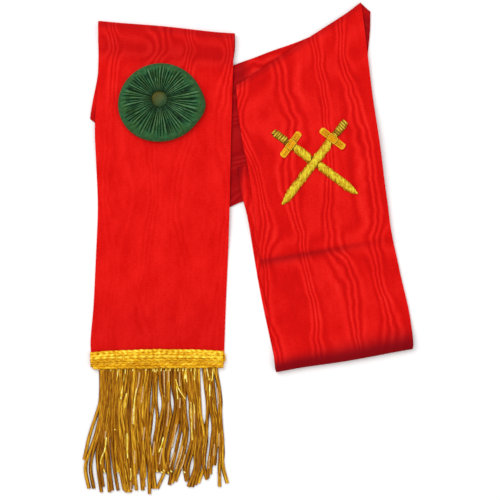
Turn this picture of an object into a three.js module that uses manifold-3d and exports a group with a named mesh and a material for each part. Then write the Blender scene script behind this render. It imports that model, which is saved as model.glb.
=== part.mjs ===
import * as THREE from 'three';
import { mergeVertices } from 'three/addons/utils/BufferGeometryUtils.js';
import Module from 'manifold-3d';

// The sash of an order, folded and laid on a flat surface, in millimetres with +Z up.
// +Y is the way from the fringe to the top folds and +X is to the right.
const wasm = await Module();
wasm.setup();

// Ribbon: one strip, folded into legs that lie on each other
const ribbonWidth = 101;
const clothThickness = 1.0;
const layerGap = 0.4;
const frontLeftLength = 251;
const backLeftLength = 102;
const frontRightLength = 235;
const tuckedShare = 0.65;
const tailShare = 0.296;
const panelGap = 3;
const turnEdge = 7.5;
const tailCutAngle = 8;
const cellLength = 9.5;
const columns = 8;

// How the cloth drapes: the soft folds stand up, and a leg sinks beside the legs that it lies on
const softFoldRadius = 2.5;
const softFoldReach = 24;
const drapeMargin = 6;
const drapeReach = 34;
const tailDrapeMargin = 1.5;
const tailDrapeReach = 11;
const softFoldRows = 5;
const sharpFoldRows = 3;

// The gap that pieces keep where they are sewn on
const seam = 0.3;

// Braid and fringe at the free end
const braidDepth = 14.6;
const braidThickness = 1.9;
const braidOverhang = 0.4;
const braidArch = 2;
const braidRibs = 4;
const braidRibDepth = 0.5;
const braidLean = 0.64;
const tapeThickness = 0.8;
const tapeInset = 0.6;
const hemInset = 2;
const fringeWidth = 88;
const fringeLength = 94;
const fringeShift = 0.2;
const lockWidth = 3.4;
const lockThickness = 2.3;
const lockRootThickness = 0.5;

// Rosette and its button
const rosetteRadius = 30.4;
const rosetteHeight = 7;
const rosetteDrop = 52.4;
const rosetteShift = 3.6;
const pleatCount = 44;
const pleatDepth = 1.3;
const wellShare = 0.3;
const buttonRadius = 6;
const buttonHeight = 4.6;

// Crossed swords
const swordLength = 77.8;
const swordsDown = 88.1;
const swordsShift = -0.9;
const swordsCrossAngle = 45.7;
const crossingShare = 0.49;
const gripLength = 13.1;
const gripWidth = 4.6;
const gripTurns = 6;
const guardLength = 22.6;
const guardWidth = 5.6;
const guardBlockLength = 7;
const guardBlockExtra = 0.5;
const guardBlockBevel = 0.3;
const guardEndLength = 1.1;
const bladeWidth = 5.9;
const tipLength = 9;
const bladeHeight = 1.7;
const guardHeight = 2.1;
const gripHeight = 1.9;
const swordStep = 4;

const step = clothThickness + layerGap;
const halfWidth = ribbonWidth / 2;
const up = new THREE.Vector3(0, 0, 1);

function direction(degrees) {
  const angle = THREE.MathUtils.degToRad(degrees);
  return new THREE.Vector2(Math.cos(angle), Math.sin(angle));
}

function fade(distance, from, to) {
  return 1 - THREE.MathUtils.smoothstep(distance, from, to);
}

// A closed body through rings of equal counts, each wound anticlockwise about the way to the next one
function closedBody(rings) {
  const count = rings[0].length;
  const points = rings.flat();
  const triangles = [];
  for (let row = 0; row + 1 < rings.length; row++) {
    for (let j = 0; j < count; j++) {
      const next = (j + 1) % count;
      const a = row * count + j;
      const b = row * count + next;
      const c = (row + 1) * count + next;
      const d = (row + 1) * count + j;
      triangles.push(a, b, c, a, c, d);
    }
  }
  const last = (rings.length - 1) * count;
  const startCentre = points.push(middle(rings[0])) - 1;
  const endCentre = points.push(middle(rings.at(-1))) - 1;
  for (let j = 0; j < count; j++) {
    const next = (j + 1) % count;
    triangles.push(startCentre, next, j);
    triangles.push(endCentre, last + j, last + next);
  }
  const geometry = new THREE.BufferGeometry().setFromPoints(points);
  geometry.setIndex(triangles);
  geometry.computeVertexNormals();
  return geometry;
}

function middle(ring) {
  const sum = ring.reduce((total, point) => total.add(point), new THREE.Vector3());
  return sum.divideScalar(ring.length);
}

function toSolid(geometry) {
  const bare = geometry.clone();
  bare.deleteAttribute('normal');
  bare.deleteAttribute('uv');
  const merged = mergeVertices(bare);
  const vertProperties = new Float32Array(merged.attributes.position.array);
  const triVerts = new Uint32Array(merged.index.array);
  return new wasm.Manifold(new wasm.Mesh({ numProp: 3, vertProperties, triVerts }));
}

function toGeometry(solid) {
  const mesh = solid.getMesh();
  const geometry = new THREE.BufferGeometry();
  geometry.setAttribute('position', new THREE.BufferAttribute(mesh.vertProperties, 3));
  geometry.setIndex(new THREE.BufferAttribute(mesh.triVerts, 1));
  geometry.computeVertexNormals();
  return geometry;
}

// The legs in folding order, from the fringe to the hidden raw end. way is the upright or level
// way that a leg takes, lean turns it anticlockwise from there, and below names the legs under it.
const legTable = [
  { name: 'front_left', way: 90, lean: -1.8, below: ['back_left', 'crossing'], softEnd: true },
  { name: 'back_left', way: 270, lean: -5.5, below: ['crossing'] },
  { name: 'crossing', way: 0, lean: 21, below: [] },
  { name: 'turn', way: 180, lean: -32.5, below: ['crossing'] },
  { name: 'front_right', way: 270, lean: 8.1, below: ['crossing', 'turn', 'tucked', 'tail'], softEnd: true },
  { name: 'tucked', way: 90, lean: 10.7, below: ['crossing', 'turn'] },
  { name: 'tail', way: 270, lean: 11.5, below: ['crossing', 'turn', 'tucked'] },
];

function headingOf(index) {
  return legTable[index].way + legTable[index].lean;
}

// The line on which a leg starts: the cut end under the braid, or the fold, which halves the turn
function startLineOf(index) {
  return index === 0 ? braidLean : (headingOf(index - 1) + headingOf(index)) / 2;
}

function endLineOf(index) {
  return index === legTable.length - 1 ? tailCutAngle : startLineOf(index + 1);
}

// How far a line across a leg gains along it for each millimetre across
function slant(leg, lineAngle) {
  const line = direction(lineAngle);
  return line.dot(leg.along) / line.dot(leg.across);
}

function runOf(leg, crossingRun) {
  const turnSlant = Math.abs(slant(leg, leg.endLine) - slant(leg, leg.startLine));
  return {
    front_left: frontLeftLength,
    back_left: backLeftLength,
    crossing: crossingRun,
    turn: turnEdge + halfWidth * turnSlant,
    front_right: frontRightLength,
    tucked: frontRightLength * tuckedShare,
    tail: frontRightLength * tailShare,
  }[leg.name];
}

// Lays the legs out in plan. A fold's roll carries the strip a little way along the fold line.
function layLegs(crossingRun) {
  const start = new THREE.Vector2(0, 0);
  return legTable.map((row, index) => {
    const side = index % 2 === 0 ? 1 : -1;
    const leg = {
      ...row,
      side,
      along: direction(headingOf(index)),
      across: direction(headingOf(index) + 90 * side),
      startLine: startLineOf(index),
      endLine: endLineOf(index),
    };
    leg.start = start.clone();
    leg.end = start.clone().addScaledVector(leg.along, runOf(leg, crossingRun));
    const radius = row.softEnd ? softFoldRadius : step / 2;
    const line = direction(leg.endLine);
    const carry = Math.PI * radius * line.dot(leg.along) / Math.abs(line.cross(leg.along));
    leg.carry = line.multiplyScalar(carry);
    leg.corners = [
      lineEnd(leg, leg.start, leg.startLine, -halfWidth),
      lineEnd(leg, leg.start, leg.startLine, halfWidth),
      lineEnd(leg, leg.end, leg.endLine, halfWidth),
      lineEnd(leg, leg.end, leg.endLine, -halfWidth),
    ];
    start.copy(leg.end).add(leg.carry);
    return leg;
  });
}

function lineEnd(leg, centre, lineAngle, across) {
  const line = direction(lineAngle);
  return centre.clone().addScaledVector(line, across / line.dot(leg.across));
}

// The crossing band is as long as the gap between the two front panels asks
function frontGap(legs) {
  const left = legs[0];
  const right = legs[4];
  const offset = right.corners[0].clone().sub(left.start);
  return -offset.dot(left.across) - halfWidth;
}

const shortGap = frontGap(layLegs(0));
const gapGain = frontGap(layLegs(1)) - shortGap;
const legs = layLegs((panelGap - shortGap) / gapGain);
const legNamed = Object.fromEntries(legs.map((leg) => [leg.name, leg]));

function distanceOutside(corners, point) {
  const turns = corners.map((corner, index) => {
    const next = corners[(index + 1) % corners.length];
    return Math.sign(next.clone().sub(corner).cross(point.clone().sub(corner)));
  });
  if (turns.every((turn) => turn >= 0) || turns.every((turn) => turn <= 0)) {
    return 0;
  }
  const distances = corners.map((corner, index) => {
    const edge = corners[(index + 1) % corners.length].clone().sub(corner);
    const offset = point.clone().sub(corner);
    const share = THREE.MathUtils.clamp(offset.dot(edge) / edge.lengthSq(), 0, 1);
    return offset.addScaledVector(edge, -share).length();
  });
  return Math.min(...distances);
}

// How much a leg lifts what lies on it: fully over its own plan, and less and less beside it. The
// cloth drops sooner behind the strip's cut end, which is why that end shows as a crease.
function liftBy(leg, point) {
  const cutEnd = leg === legs.at(-1);
  const tailReach = cutEnd ? drapeMargin + drapeReach : 0;
  const corners = leg.corners.map((corner, index) => {
    const extend = index >= 2 ? tailReach : 0;
    return corner.clone().addScaledVector(leg.along, extend);
  });
  const beside = fade(distanceOutside(corners, point), drapeMargin, drapeMargin + drapeReach);
  const endSquare = direction(leg.endLine).cross(point.clone().sub(leg.end));
  const behind = cutEnd ? Math.max(0, -endSquare) : 0;
  return beside * fade(behind, tailDrapeMargin, tailDrapeMargin + tailDrapeReach);
}

// Height of a leg's middle surface: one step for each leg under it, and the swell of a soft fold
function middleHeight(leg, point) {
  let height = clothThickness / 2;
  for (const name of leg.below) {
    height += step * liftBy(legNamed[name], point);
  }
  if (leg.softEnd) {
    const line = direction(leg.endLine);
    const distance = Math.abs(line.cross(point.clone().sub(leg.end)));
    height += (2 * softFoldRadius - step) * fade(distance, 0, softFoldReach);
  }
  return height;
}

// A point of a leg's middle surface: its share of the way along and its place across
function legPoint(leg, share, across) {
  const from = lineEnd(leg, leg.start, leg.startLine, across);
  const to = lineEnd(leg, leg.end, leg.endLine, across);
  const point = from.lerp(to, share);
  return new THREE.Vector3(point.x, point.y, middleHeight(leg, point));
}

function acrossAt(column) {
  return halfWidth * (2 * column / columns - 1);
}

function cellCount(leg) {
  return Math.max(3, Math.round(leg.end.distanceTo(leg.start) / cellLength));
}

// A ring round the strip from the middle points and the normals of one row
function stripRing(points, normals) {
  const under = points.map((point, j) => point.clone().addScaledVector(normals[j], -clothThickness / 2));
  const over = points.map((point, j) => point.clone().addScaledVector(normals[j], clothThickness / 2));
  return [...under, ...over.reverse()];
}

function legRings(leg) {
  const cells = cellCount(leg);
  return Array.from({ length: cells + 1 }, (_, row) => {
    const points = [];
    const normals = [];
    for (let column = 0; column <= columns; column++) {
      points.push(legPoint(leg, row / cells, acrossAt(column)));
      normals.push(up.clone().multiplyScalar(leg.side));
    }
    return stripRing(points, normals);
  });
}

// The half turn of the cloth between one leg's end and the next leg's start
function foldRings(leg, next) {
  const rows = leg.softEnd ? softFoldRows : sharpFoldRows;
  const line = direction(leg.endLine);
  const square = new THREE.Vector2(line.y, -line.x);
  const outward = square.multiplyScalar(Math.sign(square.dot(leg.along)));
  const out = new THREE.Vector3(outward.x, outward.y, 0);
  return Array.from({ length: rows }, (_, row) => {
    const turned = (row + 1) / (rows + 1);
    const angle = Math.PI * turned;
    const points = [];
    const normals = [];
    for (let column = 0; column <= columns; column++) {
      const before = legPoint(leg, 1, acrossAt(column));
      const after = legPoint(next, 0, acrossAt(column));
      const fall = (before.z - after.z) / 2;
      const point = before.clone().lerp(after, turned);
      point.z = (before.z + after.z) / 2 + fall * Math.cos(angle);
      point.addScaledVector(out, Math.abs(fall) * Math.sin(angle));
      points.push(point);
      const normal = out.clone().multiplyScalar(Math.sign(fall) * Math.sin(angle));
      normal.addScaledVector(up, Math.cos(angle));
      normals.push(normal.multiplyScalar(leg.side));
    }
    return stripRing(points, normals);
  });
}

function ribbonBand() {
  const rings = legs.flatMap((leg, index) => {
    const fold = index + 1 < legs.length ? foldRings(leg, legs[index + 1]) : [];
    return [...legRings(leg), ...fold];
  });
  return closedBody(rings);
}

// Height of the cloth's upper face on a front panel, on the very facets that the panel has
function bedHeight(leg, x, y) {
  const offset = new THREE.Vector2(x, y).sub(leg.start);
  const across = THREE.MathUtils.clamp(offset.dot(leg.across), -halfWidth, halfWidth);
  const from = slant(leg, leg.startLine) * across;
  const to = leg.end.clone().sub(leg.start).dot(leg.along) + slant(leg, leg.endLine) * across;
  const share = THREE.MathUtils.clamp((offset.dot(leg.along) - from) / (to - from), 0, 1);
  const cells = cellCount(leg);
  const row = Math.min(Math.floor(share * cells), cells - 1);
  const column = Math.min(Math.floor((across / halfWidth + 1) * columns / 2), columns - 1);
  const rowPart = share * cells - row;
  const columnPart = (across / halfWidth + 1) * columns / 2 - column;
  const z = (i, j) => legPoint(leg, (row + i) / cells, acrossAt(column + j)).z;
  const near = z(0, 0) + rowPart * (z(1, 0) - z(0, 0)) + columnPart * (z(0, 1) - z(0, 0));
  const far = z(1, 1) + (1 - rowPart) * (z(0, 1) - z(1, 1)) + (1 - columnPart) * (z(1, 0) - z(1, 1));
  return (rowPart + columnPart <= 1 ? near : far) + clothThickness / 2;
}

// Rosette: the outline hangs a little low and bulges to the right
const rosetteWaves = [
  { turns: 1, level: 0.016, upright: -0.087 },
  { turns: 2, level: 0.034, upright: 0.011 },
  { turns: 3, level: 0.005, upright: -0.01 },
];
const rosetteBulge = { at: -9, share: 0.076, width: 17 };

function rosetteOutline(degrees) {
  const angle = THREE.MathUtils.degToRad(degrees);
  let share = 1;
  for (const { turns, level, upright } of rosetteWaves) {
    share += level * Math.cos(turns * angle) + upright * Math.sin(turns * angle);
  }
  const away = THREE.MathUtils.euclideanModulo(degrees - rosetteBulge.at + 180, 360) - 180;
  share += rosetteBulge.share * Math.exp(-((away / rosetteBulge.width) ** 2));
  return rosetteRadius * share;
}

// From the underside over the puffed rim into the well for the button. out is a share of the
// outline, well a share of the well's radius, up a share of the height, pleat one of the pleat depth.
const rosetteSections = [
  { out: 0.5, up: 0, pleat: 0 },
  { out: 0.93, up: 0, pleat: 0 },
  { out: 1, up: 0.28, pleat: 0 },
  { out: 0.985, up: 0.58, pleat: 0.1 },
  { out: 0.91, up: 0.88, pleat: 0.35 },
  { out: 0.74, up: 1, pleat: 0.8 },
  { out: 0.5, up: 0.84, pleat: 1 },
  { well: 1.15, up: 0.56, pleat: 0.6 },
  { well: 1, up: wellShare, pleat: 0 },
];

const panel = legNamed.front_left;
const rosetteCentre = panel.end.clone()
  .addScaledVector(panel.along, -rosetteDrop)
  .addScaledVector(panel.across, rosetteShift);
const rosetteBase = bedHeight(panel, rosetteCentre.x, rosetteCentre.y) + seam;

function rosettePleats() {
  const sectors = 2 * pleatCount;
  const rings = rosetteSections.map((section) => Array.from({ length: sectors }, (_, j) => {
    const degrees = 360 * j / sectors;
    const wellRadius = section.well * (buttonRadius + seam);
    const radius = section.well ? wellRadius : section.out * rosetteOutline(degrees);
    const way = direction(degrees);
    const x = rosetteCentre.x + radius * way.x;
    const y = rosetteCentre.y + radius * way.y;
    const base = section.well ? rosetteBase : bedHeight(panel, x, y) + seam;
    const ripple = section.pleat * pleatDepth * (j % 2 === 0 ? 0.5 : -0.5);
    return new THREE.Vector3(x, y, base + section.up * rosetteHeight + ripple);
  }));
  return closedBody(rings);
}

function rosetteButton() {
  const profile = [
    [0, 0], [0.82, 0], [1, 0.2], [0.97, 0.5], [0.8, 0.78], [0.5, 0.94], [0, 1],
  ].map(([out, high]) => new THREE.Vector2(out * buttonRadius, high * buttonHeight));
  const geometry = new THREE.LatheGeometry(profile, 20);
  geometry.rotateX(Math.PI / 2);
  const seat = rosetteBase + wellShare * rosetteHeight + seam;
  geometry.translate(rosetteCentre.x, rosetteCentre.y, seat);
  return geometry;
}

// Braid and fringe share one frame at the middle of the braid's lower edge
const braidRight = direction(braidLean);
const braidUp = direction(braidLean + 90);
const braidFoot = panel.start.clone().addScaledVector(braidUp, -hemInset - tapeInset);
const tapeBottom = clothThickness + seam;
const braidBottom = tapeBottom + tapeThickness + seam;

function planAtBraid(right, upward) {
  return braidFoot.clone().addScaledVector(braidRight, right).addScaledVector(braidUp, upward);
}

// How far the cloth is lifted off the floor under a point of the braid
function braidLift(right, upward) {
  const place = planAtBraid(right, upward);
  return bedHeight(panel, place.x, place.y) - clothThickness;
}

// A point by its height above the underside of the cloth that the braid is sewn on
function atBraid(right, upward, height) {
  const place = planAtBraid(right, upward);
  return new THREE.Vector3(place.x, place.y, height + braidLift(right, upward));
}

// Sections from the left end to the right: out is a share of the half length, depth of the full depth
const braidSections = [
  { out: -1, depth: 0.72, relief: 0 },
  { out: -0.975, depth: 0.93, relief: 0.5 },
  { out: -0.9, depth: 1, relief: 1 },
  { out: -0.6, depth: 1, relief: 1 },
  { out: -0.3, depth: 1, relief: 1 },
  { out: 0, depth: 1, relief: 1 },
  { out: 0.3, depth: 1, relief: 1 },
  { out: 0.6, depth: 1, relief: 1 },
  { out: 0.9, depth: 1, relief: 1 },
  { out: 0.985, depth: 1, relief: 0.5 },
  { out: 1, depth: 0.9, relief: 0 },
];

function fringeBraid() {
  const halfLength = halfWidth + braidOverhang;
  const rings = braidSections.map((section) => {
    const depth = braidDepth * section.depth - braidArch * section.out ** 2;
    const lift = (braidDepth * (1 - section.depth)) / 2;
    const right = section.out * halfLength;
    const ring = [atBraid(right, lift, braidBottom), atBraid(right, lift + depth, braidBottom)];
    const points = 3 * braidRibs;
    for (let j = points; j >= 0; j--) {
      const valley = j % 3 === 0 ? 1 : 0;
      const shoulder = j === 0 || j === points ? 0.5 : 0;
      const drop = (valley + shoulder) * braidRibDepth * section.relief;
      ring.push(atBraid(right, lift + depth * j / points, braidBottom + braidThickness - drop));
    }
    return ring;
  });
  return closedBody(rings);
}

// One row for each lock, from the left: where a third, two thirds and the tip lie, as shares of the
// fringe's width right of the head, and how far the lock reaches as a share of the fringe's length
const lockTable = [
  { third: -0.02, twoThirds: -0.105, tip: -0.095, reach: 0.965 },
  { third: -0.022, twoThirds: -0.107, tip: -0.09, reach: 0.955 },
  { third: -0.025, twoThirds: -0.085, tip: -0.06, reach: 0.985 },
  { third: -0.02, twoThirds: -0.07, tip: -0.035, reach: 1 },
  { third: -0.02, twoThirds: -0.055, tip: -0.045, reach: 0.975 },
  { third: -0.025, twoThirds: -0.055, tip: -0.05, reach: 0.975 },
  { third: -0.028, twoThirds: -0.057, tip: -0.038, reach: 0.99 },
  { third: -0.028, twoThirds: -0.052, tip: -0.045, reach: 1 },
  { third: -0.028, twoThirds: -0.048, tip: -0.03, reach: 0.975 },
  { third: -0.023, twoThirds: -0.037, tip: -0.015, reach: 0.98 },
  { third: -0.018, twoThirds: -0.03, tip: -0.017, reach: 1 },
  { third: -0.014, twoThirds: -0.02, tip: -0.03, reach: 0.955 },
  { third: -0.005, twoThirds: -0.01, tip: -0.04, reach: 0.965 },
  { third: 0, twoThirds: -0.008, tip: -0.035, reach: 0.86 },
  { third: 0.01, twoThirds: 0, tip: -0.038, reach: 0.93 },
  { third: 0.022, twoThirds: 0.012, tip: -0.035, reach: 0.91 },
  { third: 0.035, twoThirds: 0.022, tip: 0, reach: 0.84 },
  { third: 0.042, twoThirds: 0.03, tip: -0.01, reach: 0.94 },
  { third: 0.036, twoThirds: 0.042, tip: -0.012, reach: 0.95 },
  { third: 0.034, twoThirds: 0.035, tip: -0.018, reach: 0.92 },
  { third: 0.04, twoThirds: 0.04, tip: 0.018, reach: 0.88 },
  { third: 0.042, twoThirds: 0.042, tip: 0.02, reach: 0.82 },
  { third: 0.042, twoThirds: 0.055, tip: 0.05, reach: 0.94 },
  { third: 0.03, twoThirds: 0.055, tip: 0.085, reach: 0.9 },
];

// Sections along a lock as shares of its length, its width and its thickness
const lockSections = [
  { at: 0.055, wide: 0.95, thick: 0.62 },
  { at: 0.15, wide: 1, thick: 1 },
  { at: 0.32, wide: 0.98, thick: 1 },
  { at: 0.5, wide: 0.95, thick: 0.95 },
  { at: 0.68, wide: 0.88, thick: 0.9 },
  { at: 0.85, wide: 0.75, thick: 0.75 },
  { at: 1, wide: 0.4, thick: 0.4 },
];
const lockSides = 6;
const lockRootDepth = 1.2;
const lockRootShare = 0.9;

function lockBody(row, index) {
  const head = fringeWidth * ((index + 0.5) / lockTable.length - 0.5) + fringeShift;
  const length = fringeLength * row.reach;
  const route = new THREE.SplineCurve([
    new THREE.Vector2(head, 0),
    new THREE.Vector2(head + row.third * fringeWidth, -length / 3),
    new THREE.Vector2(head + row.twoThirds * fringeWidth, -length * 2 / 3),
    new THREE.Vector2(head + row.tip * fringeWidth, -length),
  ]);
  const tapeMiddle = tapeBottom + tapeThickness / 2;
  const rootUpward = tapeInset + lockRootDepth;
  const rootHeight = tapeMiddle + braidLift(head, rootUpward);
  const root = lockRing(head, rootUpward, rootHeight, lockWidth * lockRootShare, lockRootThickness);
  const rest = lockSections.map((section) => {
    const place = route.getPoint(section.at);
    const thickness = section.thick * lockThickness;
    const onFloor = thickness / 2;
    const z = THREE.MathUtils.lerp(rootHeight, onFloor, Math.min(1, section.at / lockSections[1].at));
    return lockRing(place.x, place.y, z, section.wide * lockWidth, thickness);
  });
  return closedBody([root, ...rest]);
}

// A flat hexagonal section across a lock, seen from its tip
function lockRing(right, upward, z, width, thickness) {
  return Array.from({ length: lockSides }, (_, j) => {
    const turn = 2 * Math.PI * (j + 0.5) / lockSides;
    const wide = width / 2 / Math.cos(Math.PI / lockSides) * Math.cos(turn);
    const place = planAtBraid(right + wide, upward);
    return new THREE.Vector3(place.x, place.y, z + thickness / 2 * Math.sin(turn));
  });
}

function tapeBody() {
  const ends = [-fringeWidth / 2, fringeWidth / 2];
  const rings = ends.map((right) => {
    const low = tapeInset;
    const high = braidDepth - braidArch - tapeInset;
    const top = tapeBottom + tapeThickness;
    const place = right + fringeShift;
    return [
      atBraid(place, low, tapeBottom),
      atBraid(place, high, tapeBottom),
      atBraid(place, high, top),
      atBraid(place, low, top),
    ];
  });
  return closedBody(rings);
}

function fringeStrands() {
  const locks = lockTable.map((row, index) => toSolid(lockBody(row, index)));
  const fused = locks.reduce((whole, lock) => whole.add(lock), toSolid(tapeBody()));
  return toGeometry(fused);
}

// Crossed swords in raised embroidery on the right front panel
const swordPanel = legNamed.front_right;
const swordsCentre = swordPanel.start.clone()
  .addScaledVector(swordPanel.along, swordsDown)
  .addScaledVector(swordPanel.across, swordsShift);

// A padded bar with its foot on the cloth. A section's at is its distance along the bar.
const domeArcs = 6;
const domeFullness = 0.7;

function paddedBar(start, wayDegrees, sections) {
  const along = direction(wayDegrees);
  const across = direction(wayDegrees + 90);
  const onCloth = (at, aside, lift) => {
    const place = start.clone().addScaledVector(along, at).addScaledVector(across, aside);
    return new THREE.Vector3(place.x, place.y, bedHeight(swordPanel, place.x, place.y) + seam + lift);
  };
  const rings = closeSections(sections).map(({ at, width, height }) => {
    const dome = Array.from({ length: domeArcs + 1 }, (_, j) => {
      const turn = Math.PI * j / domeArcs;
      return onCloth(at, width / 2 * Math.cos(turn), height * Math.abs(Math.sin(turn)) ** domeFullness);
    });
    return [...dome, onCloth(at, 0, 0)];
  });
  return closedBody(rings);
}

// Sections no further apart than the sword step, so that a bar follows the cloth under it
function closeSections(sections) {
  const close = [sections[0]];
  sections.slice(1).forEach((next, index) => {
    const last = sections[index];
    const count = Math.ceil((next.at - last.at) / swordStep);
    for (let i = 1; i <= count; i++) {
      const between = (name) => THREE.MathUtils.lerp(last[name], next[name], i / count);
      close.push({ at: between('at'), width: between('width'), height: between('height') });
    }
  });
  return close;
}

// The places of a sword's pieces, measured from its pommel
const guardStart = gripLength + seam;
const bladeStart = guardStart + guardWidth + seam;
const crossingAt = crossingShare * swordLength;
const crossingAngle = THREE.MathUtils.degToRad(2 * swordsCrossAngle);
const crossingHalf = bladeWidth / 2 / Math.sin(crossingAngle)
  + bladeWidth / 2 * Math.abs(Math.cos(crossingAngle) / Math.sin(crossingAngle)) + seam;

function swordFrame(sign) {
  const way = swordPanel.way + swordPanel.lean + sign * swordsCrossAngle;
  const pommel = swordsCentre.clone().addScaledVector(direction(way), -crossingAt);
  return { way, pommel };
}

function bladeTip(from) {
  const shoulder = swordLength - tipLength;
  return [
    { at: from, width: bladeWidth, height: bladeHeight },
    { at: shoulder, width: bladeWidth, height: bladeHeight },
    { at: swordLength - tipLength * 0.45, width: bladeWidth * 0.7, height: bladeHeight * 0.9 },
    { at: swordLength, width: bladeWidth * 0.16, height: bladeHeight * 0.5 },
  ];
}

const guardArmShare = 0.85;
const guardEndShare = 0.6;

function guardBar(frame) {
  const way = frame.way + 90;
  const centre = frame.pommel.clone()
    .addScaledVector(direction(frame.way), guardStart + guardWidth / 2)
    .addScaledVector(direction(way), -guardLength / 2);
  const block = guardBlockLength / 2;
  const half = guardLength / 2;
  const inner = guardWidth - guardBlockExtra;
  const arm = guardHeight * guardArmShare;
  return paddedBar(centre, way, [
    { at: 0, width: inner * guardEndShare, height: arm * guardEndShare },
    { at: guardEndLength, width: inner, height: arm },
    { at: half - block, width: inner, height: arm },
    { at: half - block + guardBlockBevel, width: guardWidth, height: guardHeight },
    { at: half + block - guardBlockBevel, width: guardWidth, height: guardHeight },
    { at: half + block, width: inner, height: arm },
    { at: guardLength - guardEndLength, width: inner, height: arm },
    { at: guardLength, width: inner * guardEndShare, height: arm * guardEndShare },
  ]);
}

const gripGrooveShare = 0.84;
const pommelShare = 0.62;

function gripBar(frame) {
  const rows = 2 * gripTurns;
  const sections = Array.from({ length: rows + 1 }, (_, i) => {
    const wound = i % 2 === 0 ? gripGrooveShare : 1;
    const end = i === 0 ? pommelShare : 1;
    return { at: gripLength * i / rows, width: gripWidth * wound * end, height: gripHeight * wound };
  });
  return paddedBar(frame.pommel, frame.way, sections);
}

const over = swordFrame(-1);
const under = swordFrame(1);
const upperBlade = [
  { at: bladeStart, width: bladeWidth, height: bladeHeight },
  { at: crossingAt - crossingHalf, width: bladeWidth, height: bladeHeight },
];

const ribbonRed = { color: 0xd81a12, roughness: 0.55, metalness: 0 };
const rosetteGreen = { color: 0x2f4d30, roughness: 0.7, metalness: 0 };
const buttonOlive = { color: 0x45552b, roughness: 0.6, metalness: 0 };
const braidGold = { color: 0xdca81e, roughness: 0.4, metalness: 0.6 };
const fringeGold = { color: 0xaa7a29, roughness: 0.4, metalness: 0.7 };
const swordGold = { color: 0xe1be28, roughness: 0.4, metalness: 0.5 };

const sash = new THREE.Group();

function add(name, geometry, finish) {
  const mesh = new THREE.Mesh(geometry, new THREE.MeshStandardMaterial(finish));
  mesh.name = name;
  sash.add(mesh);
}

add('ribbon_band', ribbonBand(), ribbonRed);
add('rosette_pleats', rosettePleats(), rosetteGreen);
add('rosette_button', rosetteButton(), buttonOlive);
add('fringe_braid', fringeBraid(), braidGold);
add('fringe_strands', fringeStrands(), fringeGold);
add('sword_over_grip', gripBar(over), swordGold);
add('sword_over_guard', guardBar(over), swordGold);
add('sword_over_blade', paddedBar(over.pommel, over.way, bladeTip(bladeStart)), swordGold);
add('sword_under_grip', gripBar(under), swordGold);
add('sword_under_guard', guardBar(under), swordGold);
add('sword_under_blade_upper', paddedBar(under.pommel, under.way, upperBlade), swordGold);
const lowerBlade = bladeTip(crossingAt + crossingHalf);
add('sword_under_blade_lower', paddedBar(under.pommel, under.way, lowerBlade), swordGold);

// The origin is the middle of the object's footprint, on the surface that it lies on
const box = new THREE.Box3().setFromObject(sash, true);
const footprint = box.getCenter(new THREE.Vector3());
sash.position.set(-footprint.x, -footprint.y, -box.min.z);

const whole = new THREE.Group();
whole.add(sash);

export default whole;
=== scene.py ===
import cmath
import math

import bpy
import numpy as np
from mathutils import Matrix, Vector


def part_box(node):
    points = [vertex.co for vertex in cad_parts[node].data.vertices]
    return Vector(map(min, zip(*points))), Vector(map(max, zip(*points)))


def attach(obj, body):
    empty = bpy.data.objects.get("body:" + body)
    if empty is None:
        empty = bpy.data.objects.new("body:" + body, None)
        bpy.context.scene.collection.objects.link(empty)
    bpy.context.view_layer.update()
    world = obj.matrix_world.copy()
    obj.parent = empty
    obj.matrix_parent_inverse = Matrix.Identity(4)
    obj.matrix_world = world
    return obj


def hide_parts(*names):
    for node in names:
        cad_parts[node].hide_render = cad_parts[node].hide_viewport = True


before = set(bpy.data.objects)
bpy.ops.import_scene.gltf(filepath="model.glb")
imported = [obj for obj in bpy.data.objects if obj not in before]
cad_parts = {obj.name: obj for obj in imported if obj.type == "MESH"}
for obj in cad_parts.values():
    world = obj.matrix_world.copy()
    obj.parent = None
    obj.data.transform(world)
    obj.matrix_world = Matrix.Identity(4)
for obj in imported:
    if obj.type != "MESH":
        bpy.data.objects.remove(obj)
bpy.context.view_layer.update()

MM = 0.001
low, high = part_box("rosette_button")
button_middle = complex((low.x + high.x) / 2, (low.y + high.y) / 2) / MM

# The photograph is 500 by 500 pixels and is looked at from straight above
PHOTO_PIXELS = 500
MM_PER_PIXEL = 0.75
PHOTO_ORIGIN = complex(248.5, 249)
CAMERA_HEIGHT = 1.6
SENSOR_WIDTH = 36

# Lights, in metres and watts
SOFTBOX_SIZE = 1.2
SOFTBOX_POWER = 13
FILL_POWER = 4.5
ROOM_STRENGTH = 0.6


def on_photo(right, down):
    """The plan point, in millimetres, that lies under a pixel of the photograph, or several."""
    x = (right - PHOTO_ORIGIN.real) * MM_PER_PIXEL
    y = (PHOTO_ORIGIN.imag - down) * MM_PER_PIXEL
    return x + 1j * y


# Camera and light


def placed(name, data):
    """A new object in the scene."""
    made = bpy.data.objects.new(name, data)
    bpy.context.scene.collection.objects.link(made)
    return made


def make_camera():
    view_width = PHOTO_PIXELS * MM_PER_PIXEL * MM
    middle = on_photo(PHOTO_PIXELS / 2, PHOTO_PIXELS / 2) * MM
    camera = bpy.data.cameras.new("camera")
    camera.sensor_width = SENSOR_WIDTH
    camera.lens = SENSOR_WIDTH * CAMERA_HEIGHT / view_width
    holder = placed("camera", camera)
    holder.location = (middle.real, middle.imag, CAMERA_HEIGHT)
    bpy.context.scene.camera = holder


def make_light(name, place, power):
    """A square softbox, placed in metres, that points at the middle of the sash."""
    light = bpy.data.lights.new(name, "AREA")
    light.size = SOFTBOX_SIZE
    light.energy = power
    holder = placed(name, light)
    holder.location = place
    holder.rotation_euler = (-Vector(place)).to_track_quat("-Z", "Y").to_euler()


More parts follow.
